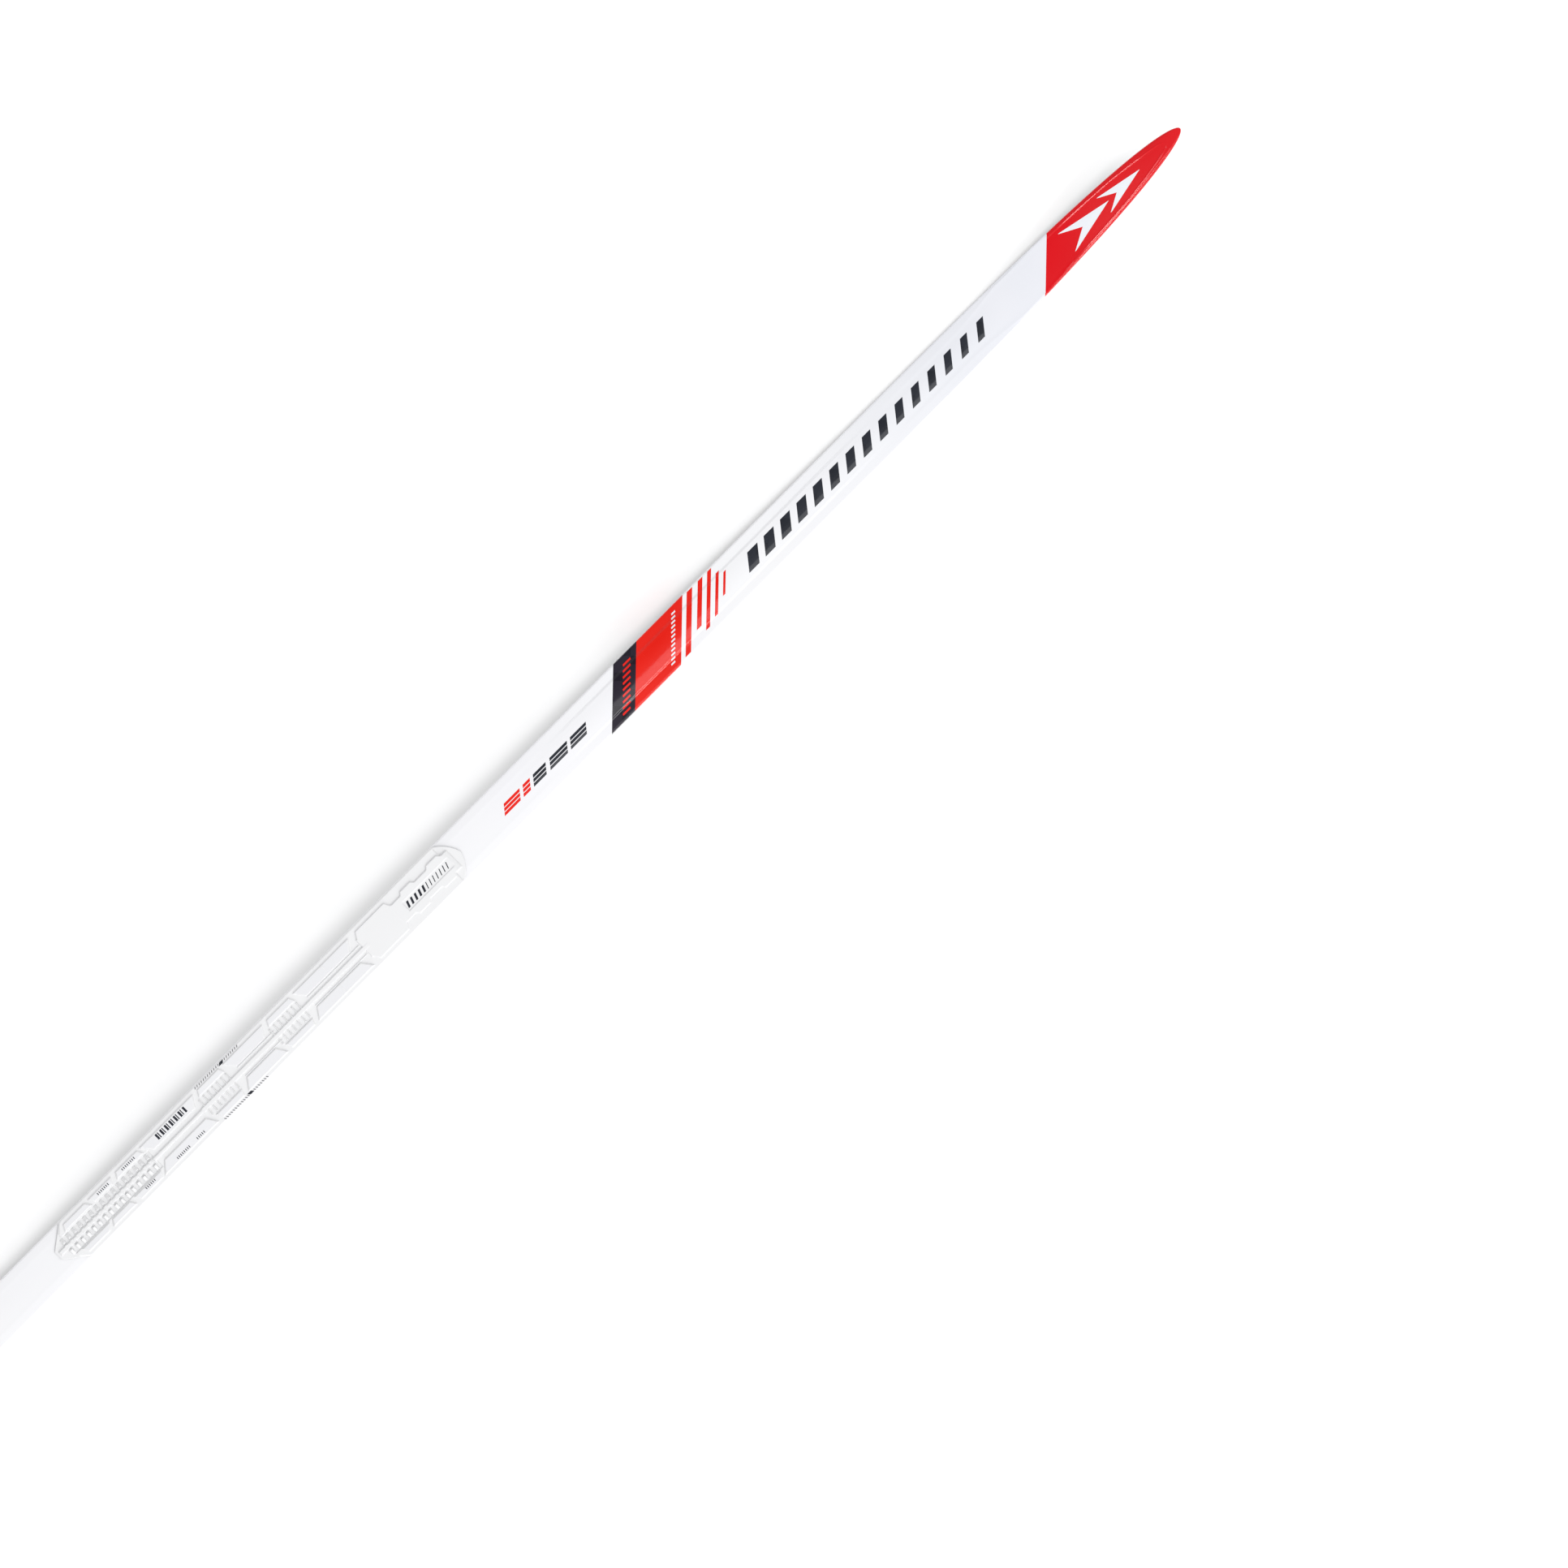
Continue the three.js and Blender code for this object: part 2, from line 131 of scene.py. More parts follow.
def halfWidth(x):
    s = skiShape
    x = np.asarray(x, float)
    along = np.clip((tipX - x) / s["tipTaper"], 0, 1)
    tip = np.maximum(s["noseHalf"], s["halfWidth"] * np.sqrt(1 - (1 - along) ** s["tipPower"]))
    widening = np.clip((x - tailX) / (s["rearContact"][0] - tailX), 0, 1)
    tail = s["tailHalf"] + (s["halfWidth"] - s["tailHalf"]) * widening
    return np.minimum(tip, tail)


def topHeight(x):  # top of the crown on the centre line
    return baseHeight(x) + thickness(x)


capShape = dict(
    foot=2.7,  # where the side wall meets the lower plies
    lean=0.3,
    wallLean=0.6,  # how much of the lean is taken two thirds of the way up the wall
    fullHalf=10,  # where the ski is narrower than this, the details shrink with it
    shoulder=0.4,
    shoulderGrow=0.02,  # added for each millimetre of thickness
    tipShoulder=1.1,
    tipShoulderRange=(840, 940),
    shoulderRise=(2.2, 0.22),  # at most this high, and this share of the thickness
    shoulderTurns=(0, 15, 30, 45, 60, 75, 90),
    crownDrop=0.55,  # from the crown's edge to the shoulder where there is no crease
    creaseFall=0.06,  # the same beside the crease, where the wing is nearly flat
    tipFallRange=(800, 840),
    rim=0.9,  # a narrow slope along the shoulder of the tip
    rimLeast=0.06,
    rimRange=(835, 880),
    rimParts=(0.08, 0.92, 1),
    wingParts=(0.15, 0.85),
    crownParts=(0.8, 0.55, 0.3, 0),
    crease=12.3,
    creaseHalf=1.15,
    creaseLimits=(0.15, 0.87),  # as shares of the width inside the shoulder
    creaseRoom=(0.45, 0.02),
    strips=(0.52, 0.96),  # the flat strips at both sides of the crease line, as shares of its half width
    stripCorner=0.04,
    stripFall=0.35,  # the most of the step that one strip takes
    keyAngle=43.5,  # the flat strips along crease, ridge and rim mirror light from this far off overhead
    stepDrop=0.9,
    stepRange=(180, 300, 480, 680),  # where the raised plateau shows
    crownRound=(0.1, 12),  # how far the crown rounds off, from this half width up
    crownPuff=0.42,  # extra roundness of the plateau ahead of the plate
    puffRange=(130, 220),
    rearPuff=0.25,
    rearPuffRange=(-520, -430),
    tipFlat=(740, 850),  # the crown flattens out here
    ridgeFollow=(730, 830),  # the crease line turns into the ridge here
    ridgeStart=19,  # behind the nose
    ridgeReach=150,
    ridgePower=0.28,
    ridgeRange=(842, 872, 978, 988),
    skin=0.5,
)


def stripSlope(x):  # across the ski, allowing for the rise of the tip
    rise = topHeight(x + 1) / 2 - topHeight(x - 1) / 2
    aim = math.tan(math.radians(capShape["keyAngle"]))
    return (np.sqrt(1 + aim * aim * (1 - rise * rise)) - 1) / aim


def capProfile(x):  # half the cap's section, foot to crown: distances and heights, one row for each x
    c = capShape
    x = np.atleast_1d(np.asarray(x, float))
    half, thick = halfWidth(x), thickness(x)
    scale = np.clip(half / c["fullHalf"], 0, 1)
    slope = stripSlope(x)
    stepped = fade(c["stepRange"], x)
    step = c["stepDrop"] * stepped
    lean = c["lean"] * scale
    run = c["shoulder"] + c["shoulderGrow"] * thick + c["tipShoulder"] * smooth(*c["tipShoulderRange"], x)
    run = run * scale
    highest, part = c["shoulderRise"]
    rise = np.minimum(highest, part * thick)
    inside = half - lean - run
    ridge = half * np.clip((tipX - x - c["ridgeStart"]) / c["ridgeReach"], 0, 1) ** c["ridgePower"]
    follow = smooth(*c["ridgeFollow"], x)
    least, most = c["creaseLimits"]
    line = np.minimum(c["crease"] * (1 - follow) + ridge * follow, inside * most)
    line = np.maximum(line, inside * least)
    room, spare = c["creaseRoom"]
    reach = np.minimum(c["creaseHalf"], room * np.minimum(inside - line, line) + spare)
    puff = smooth(*c["puffRange"], x) * (1 - smooth(*c["tipFlat"], x))
    puff = puff + c["rearPuff"] * (1 - smooth(*c["rearPuffRange"], x))
    roundOff, roundHalf = c["crownRound"]
    drop = (roundOff + c["crownPuff"] * puff) * np.minimum(1, line / roundHalf)
    edge = thick - drop
    flatWing = np.maximum(stepped, smooth(*c["tipFallRange"], x))
    fall = (c["crownDrop"] + (c["creaseFall"] - c["crownDrop"]) * flatWing) * scale
    rim = c["rim"] * smooth(*c["rimRange"], x) * scale + c["rimLeast"]
    wingEnd = edge - step - fall
    shoulderTop = wingEnd - rim * slope
    wallTop = shoulderTop - rise
    foot = np.full_like(x, c["foot"])
    columns = [(half, foot), (half - c["wallLean"] * lean, (foot + 2 * wallTop) / 3)]
    for turn in np.radians(c["shoulderTurns"]):
        columns.append((half - lean - run * (1 - np.cos(turn)), wallTop + rise * np.sin(turn)))
    for part in c["rimParts"]:
        columns.append((inside - rim * part, shoulderTop + rim * slope * part))
    wing = inside - rim - line - reach
    for part in c["wingParts"]:
        columns.append((inside - rim - wing * part, wingEnd + fall * part))
    inner, outer = c["strips"]
    wide, corner = outer - inner, c["stripCorner"]
    facet = np.minimum(wide * reach * slope, c["stripFall"] * step)
    raised = outer * reach * slope * fade(c["ridgeRange"], x)
    shares = (1, outer, outer - corner, inner + corner, inner, corner)
    for share in (*shares, 0, *(-v for v in shares[::-1])):
        strips = np.clip((share + outer) / wide, 0, 1) + np.clip((share - inner) / wide, 0, 1)
        fallen = facet * strips + (step - 2 * facet) * np.clip((share + inner) / (2 * inner), 0, 1)
        columns.append((line + reach * share, edge - fallen + raised * max(0, 1 - abs(share) / outer)))
    for part in c["crownParts"]:
        columns.append(((line - reach) * part, thick - drop * part * part))
    y, z = (np.stack(v, 1) for v in zip(*columns))
    return y, z


def skinHeight(x, y):  # height of the ski's top skin over the ground at any place
    x, y = np.asarray(x, float), np.abs(np.asarray(y, float))
    ys, zs = capProfile(x.ravel())
    level = [np.interp(v, a[::-1], b[::-1]) for v, a, b in zip(y.ravel(), ys, zs)]
    return np.array(level).reshape(x.shape) + baseHeight(x)


# Mesh helpers

def meshPiece(name, points, faces, material, sharp=30):
    data = bpy.data.meshes.new(name)
    places = [tuple(p) for p in np.asarray(points) * mm]
    data.from_pydata(places, [], [tuple(int(i) for i in face) for face in faces])
    data.validate()
    data.update()
    data.shade_smooth()
    data.set_sharp_from_angle(angle=math.radians(sharp))
    data.materials.append(material)
    piece = bpy.data.objects.new(name, data)
    bpy.context.scene.collection.objects.link(piece)
    return piece


def gridFaces(rows, columns, closed=False):  # quads of a grid whose points run along the columns first
    i = np.arange(rows - 1)[:, None]
    j = np.arange(columns if closed else columns - 1)[None, :]
    a, b = i * columns + j, i * columns + (j + 1) % columns
    return np.stack([a, b, b + columns, a + columns], -1).reshape(-1, 4).tolist()


def loftPiece(name, rings, material, sharp=30):  # closed solid through rings of points, running towards +X
    rings = np.asarray(rings, float)
    count = rings.shape[1]
    area = np.sum(rings[0, :, 1] * np.roll(rings[0, :, 2], -1) - np.roll(rings[0, :, 1], -1) * rings[0, :, 2])
    if area < 0:
        rings = rings[:, ::-1]
    faces = gridFaces(len(rings), count, closed=True)
    faces.append(list(range(count))[::-1])
    faces.append([(len(rings) - 1) * count + k for k in range(count)])
    return meshPiece(name, rings.reshape(-1, 3), faces, material, sharp)


def joinPieces(name, pieces):
    bpy.ops.object.select_all(action="DESELECT")
    for piece in pieces:
        piece.select_set(True)
    bpy.context.view_layer.objects.active = pieces[0]
    bpy.ops.object.join()
    pieces[0].name = pieces[0].data.name = name
    return pieces[0]


ringPlaces = dict(spacing=6.0, noseReach=60, noseCount=34, nosePower=1.8)


def placesAlong(start, end, spacing=ringPlaces["spacing"]):  # even places, closer together near the nose
    reach = ringPlaces["noseReach"]
    evenEnd = min(end, tipX - reach)
    even = np.linspace(start, evenEnd, max(2, int((evenEnd - start) / spacing)))
    if end <= tipX - reach:
        return even
    nose = tipX - reach * np.linspace(1, 0, ringPlaces["noseCount"])[1:] ** ringPlaces["nosePower"]
    return np.concatenate([even, nose[nose < end], [end]]) if end < tipX else np.concatenate([even, nose])


def mirrored(x, y, z):  # a whole section from the half that runs from the foot to the middle
    return np.stack([np.full(2 * len(y) - 1, x), np.append(-y, y[-2::-1]), np.append(z, z[-2::-1])], 1)


def flatSection(x, half, count, low, high):  # across the ski at one height and back at another
    across = np.linspace(-1, 1, count) * half
    ys = np.concatenate([across, across[::-1]])
    return np.stack([np.full(len(ys), x), ys, np.repeat([low, high], count)], 1)


# Node helpers

def addNode(tree, kind, **settings):
    node = tree.nodes.new(kind)
    for key, value in settings.items():
        setattr(node, key, value)
    return node


def setInputs(node, values):
    for key, value in values.items():
        node.inputs[key].default_value = value
    return node


def newGroup(name, inputs, outputs):  # inputs: name to default; outputs: names
    tree = bpy.data.node_groups.new(name, "ShaderNodeTree")
    for key, value in inputs.items():
        tree.interface.new_socket(key, in_out="INPUT", socket_type="NodeSocketFloat").default_value = value
    for key in outputs:
        tree.interface.new_socket(key, in_out="OUTPUT", socket_type="NodeSocketFloat")
    return tree, addNode(tree, "NodeGroupInput"), addNode(tree, "NodeGroupOutput")


def feed(tree, socket, value):  # a link where the value comes from a node, or else a constant
    if hasattr(value, "is_output"):
        tree.links.new(value, socket)
    else:
        socket.default_value = value


def mathNode(tree, operation, a, b=0.0, clamp=False):
    node = addNode(tree, "ShaderNodeMath", operation=operation, use_clamp=clamp)
    feed(tree, node.inputs[0], a)
    feed(tree, node.inputs[1], b)
    return node.outputs[0]


def times(tree, a, b):
    return mathNode(tree, "MULTIPLY", a, b)


def mapRange(tree, value, low, high, toLow=0.0, toHigh=1.0, smoothStep=False):
    node = addNode(tree, "ShaderNodeMapRange", interpolation_type="SMOOTHSTEP" if smoothStep else "LINEAR")
    limits = {"Value": value, "From Min": low, "From Max": high, "To Min": toLow, "To Max": toHigh}
    for key, limit in limits.items():
        feed(tree, node.inputs[key], limit)
    return node.outputs["Result"]


def mixColor(tree, factor, a, b):
    node = addNode(tree, "ShaderNodeMix", data_type="RGBA")
    for place, value in ((0, factor), (6, a), (7, b)):  # where a colour mix keeps its sockets
        feed(tree, node.inputs[place], (*value, 1) if isinstance(value, tuple) else value)
    return node.outputs[2]


def stretchedPosition(tree, scale, stretch=(1, 1, 1), turn=(0, 0, 0)):  # the piece's own position, scaled
    mapping = setInputs(addNode(tree, "ShaderNodeMapping"), {"Rotation": turn, "Scale": stretch})
    tree.links.new(addNode(tree, "ShaderNodeTexCoord").outputs["Object"], mapping.inputs["Vector"])
    scaled = addNode(tree, "ShaderNodeVectorMath", operation="SCALE")
    tree.links.new(mapping.outputs["Vector"], scaled.inputs["Vector"])
    feed(tree, scaled.inputs["Scale"], scale)
    return scaled.outputs["Vector"]


def noise(tree, place, detail, **settings):
    node = setInputs(addNode(tree, "ShaderNodeTexNoise"), {"Scale": 1.0, "Detail": detail, **settings})
    tree.links.new(place, node.inputs["Vector"])
    return node.outputs["Fac"]


# Shared effects

def makeGrain():  # even fine grain, as on moulded plastic or sprayed lacquer
    tree, given, result = newGroup("fineGrain", {"Scale": 900.0}, ("Height", "Tone"))
    fine = noise(tree, stretchedPosition(tree, given.outputs["Scale"]), 3.0, Roughness=0.55)
    broad = noise(tree, stretchedPosition(tree, 11.0), 2.0)
    tree.links.new(fine, result.inputs["Height"])
    tree.links.new(mapRange(tree, broad, 0.3, 0.7), result.inputs["Tone"])
    return tree


def makeScuffs():  # hairline scratches along the ski and a few rubbed patches
    tree, given, result = newGroup("scuffs", {"Amount": 0.5}, ("Mask", "Height"))
    lines = noise(tree, stretchedPosition(tree, 1.0, (26, 900, 500), (0, 0, 0.04)), 4.0, Roughness=0.7)
    hair = mapRange(tree, lines, 0.66, 0.74, smoothStep=True)
    patches = noise(tree, stretchedPosition(tree, 38.0, (0.5, 1, 1)), 3.0)
    rubbed = mapRange(tree, patches, 0.5, 0.72, smoothStep=True)
    both = times(tree, times(tree, hair, rubbed), given.outputs["Amount"])
    tree.links.new(both, result.inputs["Mask"])
    tree.links.new(times(tree, both, -1.0), result.inputs["Height"])
    return tree


def makeEdgeWear():  # bright or dull rub on the sharpest corners
    tree, given, result = newGroup("edgeWear", {"Start": 0.52, "End": 0.6}, ("Mask",))
    shape = addNode(tree, "ShaderNodeNewGeometry")
    sharpness = mapRange(tree, shape.outputs["Pointiness"], given.outputs["Start"], given.outputs["End"])
    spotty = mapRange(tree, noise(tree, stretchedPosition(tree, 220.0), 4.0), 0.38, 0.62)
    tree.links.new(mathNode(tree, "MULTIPLY", sharpness, spotty, clamp=True), result.inputs["Mask"])
    return tree


def makeWeave():  # twill of crossing fibre bundles, Pitch in metres along the cloth
    tree, given, result = newGroup("twill", {"Pitch": 0.0024}, ("Tone", "Height"))
    place = addNode(tree, "ShaderNodeSeparateXYZ")
    tree.links.new(stretchedPosition(tree, 1.0, turn=(0, 0, math.radians(45))), place.inputs[0])
    across, along = (mathNode(tree, "DIVIDE", place.outputs[axis], given.outputs["Pitch"]) for axis in "XY")
    whole = mathNode(tree, "ADD", mathNode(tree, "FLOOR", across), mathNode(tree, "FLOOR", along))
    over = mathNode(tree, "GREATER_THAN", mathNode(tree, "PINGPONG", whole, 2.0), 0.9)
    chosen = addNode(tree, "ShaderNodeMix", data_type="FLOAT")
    tree.links.new(over, chosen.inputs[0])
    for thread, socket in ((across, chosen.inputs[2]), (along, chosen.inputs[3])):
        tree.links.new(mathNode(tree, "SINE", times(tree, mathNode(tree, "FRACT", thread), math.pi)), socket)
    tree.links.new(over, result.inputs["Tone"])
    tree.links.new(chosen.outputs[0], result.inputs["Height"])
    return tree


def makeGroundStructure():  # the fine lengthwise pattern that a stone leaves in a running base
    outputs = "Line", "Height"
    tree, given, result = newGroup("groundStructure", {"Spacing": 0.0009}, outputs)
    place = addNode(tree, "ShaderNodeSeparateXYZ")
    tree.links.new(stretchedPosition(tree, 1.0, turn=(0, 0, 0.02)), place.inputs[0])
    wobble = noise(tree, stretchedPosition(tree, 90.0, (0.35, 1, 1)), 3.0)
    shifted = mathNode(tree, "ADD", place.outputs["Y"], times(tree, wobble, 0.0006))
    turns = times(tree, mathNode(tree, "DIVIDE", shifted, given.outputs["Spacing"]), 2 * math.pi)
    line = mapRange(tree, mathNode(tree, "SINE", turns), -1.0, 1.0)
    cut = times(tree, line, noise(tree, stretchedPosition(tree, 1.0, (110, 700, 300)), 2.0))
    for socket in outputs:
        tree.links.new(cut, result.inputs[socket])
    return tree


grainGroup = makeGrain()
scuffGroup = makeScuffs()
wearGroup = makeEdgeWear()
weaveGroup = makeWeave()
structureGroup = makeGroundStructure()
print("shared effects ready")


class Finish:  # one material: its tree, its Principled shader and its stacked bump
    def __init__(self, name, **shader):
        self.material = bpy.data.materials.new(name)
        self.material.use_nodes = True
        self.tree = self.material.node_tree
        self.shader = self.tree.nodes["Principled BSDF"]
        setInputs(self.shader, shader)
        self.normal = None

    def effect(self, group, **inputs):
        node = addNode(self.tree, "ShaderNodeGroup", node_tree=group)
        return setInputs(node, inputs).outputs

    def link(self, value, socket):
        self.tree.links.new(value, self.shader.inputs[socket])

    def blend(self, body, mask, amount, color):  # a colour over the body where the mask shows
        return mixColor(self.tree, times(self.tree, mask, amount), body, color)

    def rough(self, value, limits, low=0.0, high=1.0):
        return mapRange(self.tree, value, low, high, *limits)

    def bump(self, height, distance, strength=1.0):
        node = setInputs(addNode(self.tree, "ShaderNodeBump"), {"Strength": strength, "Distance": distance})
        self.tree.links.new(height, node.inputs["Height"])
        if self.normal:
            self.tree.links.new(self.normal, node.inputs["Normal"])
        self.normal = node.outputs["Normal"]
        self.link(self.normal, "Normal")


def alongSki(tree, start, end):  # 0 behind start and 1 ahead of end, in millimetres
    place = addNode(tree, "ShaderNodeSeparateXYZ")
    tree.links.new(addNode(tree, "ShaderNodeTexCoord").outputs["Object"], place.inputs[0])
    return mapRange(tree, place.outputs["X"], start * mm, end * mm, smoothStep=True)


lacquerLook = dict(
    rear=(0.79, 0.79, 0.80),
    front=(0.675, 0.69, 0.735),
    frontRange=(450, 850),
    tint=(0.77, 0.765, 0.80),
    scuffed=(0.6, 0.6, 0.62),
    roughness=(0.3, 0.38),
)


def makeWhiteLacquer():
    look = lacquerLook
    finish = Finish("whiteLacquer", **{"IOR": 1.46, "Specular IOR Level": 0.2})
    tree = finish.tree
    grain = finish.effect(grainGroup, Scale=1400.0)
    scuff = finish.effect(scuffGroup, Amount=0.35)
    body = mixColor(tree, alongSki(tree, *look["frontRange"]), look["rear"], look["front"])
    body = finish.blend(body, grain["Tone"], 0.45, look["tint"])
    finish.link(finish.blend(body, scuff["Mask"], 0.3, look["scuffed"]), "Base Color")
    rough = finish.rough(grain["Tone"], look["roughness"])
    finish.link(mathNode(tree, "ADD", rough, times(tree, scuff["Mask"], 0.2)), "Roughness")
    finish.bump(grain["Height"], 0.00001, 0.5)
    finish.bump(scuff["Height"], 0.00002, 0.4)
    return finish.material


printLook = dict(scuffed=(0.5, 0.5, 0.5), roughness=(0.24, 0.32), weaveFloor=0.12)


def makePrint(name, deep, light, weave=0.0, pitch=0.0075, gloss=0.4):  # ink under clear lacquer
    finish = Finish(name, **{"Specular IOR Level": 0.3 * gloss, "Coat Weight": gloss, "Coat Roughness": 0.08})
    tree = finish.tree
    grain = finish.effect(grainGroup, Scale=1500.0)
    scuff = finish.effect(scuffGroup, Amount=0.5)
    shade = grain["Tone"]
    if weave:
        cloth = finish.effect(weaveGroup, Pitch=pitch)
        shade = mathNode(tree, "ADD", times(tree, cloth["Tone"], weave), printLook["weaveFloor"])
    body = finish.blend(mixColor(tree, shade, deep, light), scuff["Mask"], 0.2, printLook["scuffed"])
    finish.link(body, "Base Color")
    finish.link(finish.rough(grain["Tone"], printLook["roughness"]), "Roughness")
    finish.bump(grain["Height"], 0.000004, 0.4)
    return finish.material


plateLook = dict(
    shades=((0.75, 0.75, 0.755), (0.725, 0.725, 0.73)),
    worn=(0.84, 0.84, 0.845),
    roughness=(0.34, 0.46),
)


def makePlatePlastic():
    look = plateLook
    finish = Finish("platePlastic", **{"IOR": 1.49, "Specular IOR Level": 0.4})
    tree = finish.tree
    grain = finish.effect(grainGroup, Scale=2600.0)
    wear = finish.effect(wearGroup, Start=0.53, End=0.62)
    body = mixColor(tree, times(tree, grain["Tone"], 0.6), *look["shades"])
    finish.link(finish.blend(body, wear["Mask"], 0.5, look["worn"]), "Base Color")
    finish.link(finish.rough(grain["Height"], look["roughness"], 0.3, 0.7), "Roughness")
    finish.bump(grain["Height"], 0.00002, 0.6)
    return finish.material


baseLook = dict(
    shades=((0.012, 0.012, 0.013), (0.05, 0.05, 0.053)),
    scuffed=(0.3, 0.3, 0.3),
    roughness=(0.34, 0.44),
    kickZone=((-460, -420), (250, 290)),  # the duller length under the foot, where grip wax goes
    kickShade=(0.06, 0.06, 0.062),
    kickRough=0.22,
)


def makeBaseSheet():
    look = baseLook
    finish = Finish("runningBase", **{"IOR": 1.5, "Specular IOR Level": 0.35})
    tree = finish.tree
    ground = finish.effect(structureGroup, Spacing=0.0009)
    scuff = finish.effect(scuffGroup, Amount=0.8)
    grain = finish.effect(grainGroup, Scale=700.0)
    body = mixColor(tree, ground["Line"], *look["shades"])
    body = finish.blend(body, scuff["Mask"], 0.25, look["scuffed"])
    kick = mathNode(tree, "SUBTRACT", *(alongSki(tree, *span) for span in look["kickZone"]))
    finish.link(finish.blend(body, kick, 0.35, look["kickShade"]), "Base Color")
    rough = finish.rough(grain["Tone"], look["roughness"])
    finish.link(mathNode(tree, "ADD", rough, times(tree, kick, look["kickRough"])), "Roughness")
    finish.bump(ground["Height"], 0.00003, 0.7)
    return finish.material


def makeFibre(name, deep, light, pitch, gloss):
    finish = Finish(name, **{"IOR": 1.52, "Coat Weight": 0.3})
    tree = finish.tree
    cloth = finish.effect(weaveGroup, Pitch=pitch)
    grain = finish.effect(grainGroup, Scale=1100.0)
    body = mixColor(tree, times(tree, cloth["Tone"], 0.7), deep, light)
    finish.link(finish.blend(body, grain["Height"], 0.2, light), "Base Color")
    finish.link(finish.rough(cloth["Tone"], (gloss, gloss + 0.12)), "Roughness")
    finish.bump(cloth["Height"], 0.00008, 0.5)
    return finish.material


def makeFoam(name, deep, light, cells):
    finish = Finish(name, **{"Specular IOR Level": 0.15})
    tree = finish.tree
    bubble = setInputs(addNode(tree, "ShaderNodeTexVoronoi", feature="F1"), {"Scale": 1.0})
    tree.links.new(stretchedPosition(tree, cells), bubble.inputs["Vector"])
    grain = finish.effect(grainGroup, Scale=cells * 1.7)
    wall = mapRange(tree, bubble.outputs["Distance"], 0.1, 0.6)
    body = mixColor(tree, wall, deep, light)
    finish.link(finish.blend(body, grain["Tone"], 0.3, deep), "Base Color")
    finish.link(finish.rough(wall, (0.95, 0.82)), "Roughness")
    finish.bump(wall, 0.0002, 0.6)
    return finish.material


def makeMoulded(name, deep, light, roughness, scale):
    finish = Finish(name, **{"Specular IOR Level": 0.4})
    tree = finish.tree
    grain = finish.effect(grainGroup, Scale=scale)
    wear = finish.effect(wearGroup, Start=0.52, End=0.6)
    worn = tuple(min(1, 3 * v + 0.1) for v in light)
    body = finish.blend(mixColor(tree, grain["Tone"], deep, light), wear["Mask"], 0.35, worn)
    finish.link(body, "Base Color")
    finish.link(finish.rough(grain["Height"], (roughness - 0.06, roughness + 0.08), 0.3, 0.7), "Roughness")
    finish.bump(grain["Height"], 0.00004, 0.6)
    return finish.material


whiteLacquer = makeWhiteLacquer()
redPrint = makePrint("redPrint", (0.69, 0.011, 0.005), (0.74, 0.016, 0.008))
tipRed = makePrint("tipRed", (0.60, 0.001, 0.005), (0.64, 0.002, 0.007), gloss=0.34)
blackPrint = makePrint("blackPrint", (0.008, 0.006, 0.012), (0.024, 0.019, 0.032), weave=0.5)
darkInk = makePrint("darkInk", (0.014, 0.016, 0.022), (0.03, 0.034, 0.045), weave=0.35, pitch=0.011)
filmPrint = makePrint("filmPrint", (0.735, 0.735, 0.752), (0.75, 0.75, 0.765), gloss=0.3)
scaleInk = makePrint("scaleInk", (0.13, 0.13, 0.14), (0.17, 0.17, 0.18))
paleInk = makePrint("paleInk", (0.70, 0.72, 0.76), (0.76, 0.78, 0.81))
platePlastic = makePlatePlastic()
baseSheet = makeBaseSheet()
carbonFibre = makeFibre("carbonFibre", (0.008, 0.008, 0.009), (0.05, 0.052, 0.056), 0.0024, 0.28)
glassFibre = makeFibre("glassFibre", (0.34, 0.35, 0.26), (0.56, 0.57, 0.45), 0.0016, 0.4)
matFibre = makeFibre("matFibre", (0.42, 0.44, 0.38), (0.66, 0.68, 0.6), 0.0030, 0.6)
lightFoam = makeFoam("lightFoam", (0.62, 0.55, 0.40), (0.86, 0.80, 0.64), 1500.0)
denseFoam = makeFoam("denseFoam", (0.50, 0.38, 0.17), (0.75, 0.61, 0.33), 2400.0)
spacerPlastic = makeMoulded("spacerPlastic", (0.03, 0.03, 0.033), (0.06, 0.06, 0.064), 0.5, 1400.0)
protectorPlastic = makeMoulded("protectorPlastic", (0.022, 0.022, 0.024), (0.05, 0.05, 0.053), 0.48, 1600.0)
glueGrey = makeMoulded("glueGrey", (0.30, 0.30, 0.31), (0.40, 0.40, 0.41), 0.5, 900.0)
print("materials ready")


def finishPiece(piece, node):  # the piece is attached to the ski's root, and the CAD node it stands for is hidden
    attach(piece, "root")
    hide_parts(node)
    return piece


# Top sheet, in the lengths that its print divides it into. Slanted joins are placed at the centre line.

topSheet = dict(
    slant=1.04,  # the joins run forward towards the left edge
    bandRear=284.6,
    bandFront=314.1,
    blockFront=372.5,
    tipRear=835.1,
    settling=8,  # rounds in which a slanted join settles on the skin
    leastSqueeze=0.2,
    leastHalf=0.6,
)


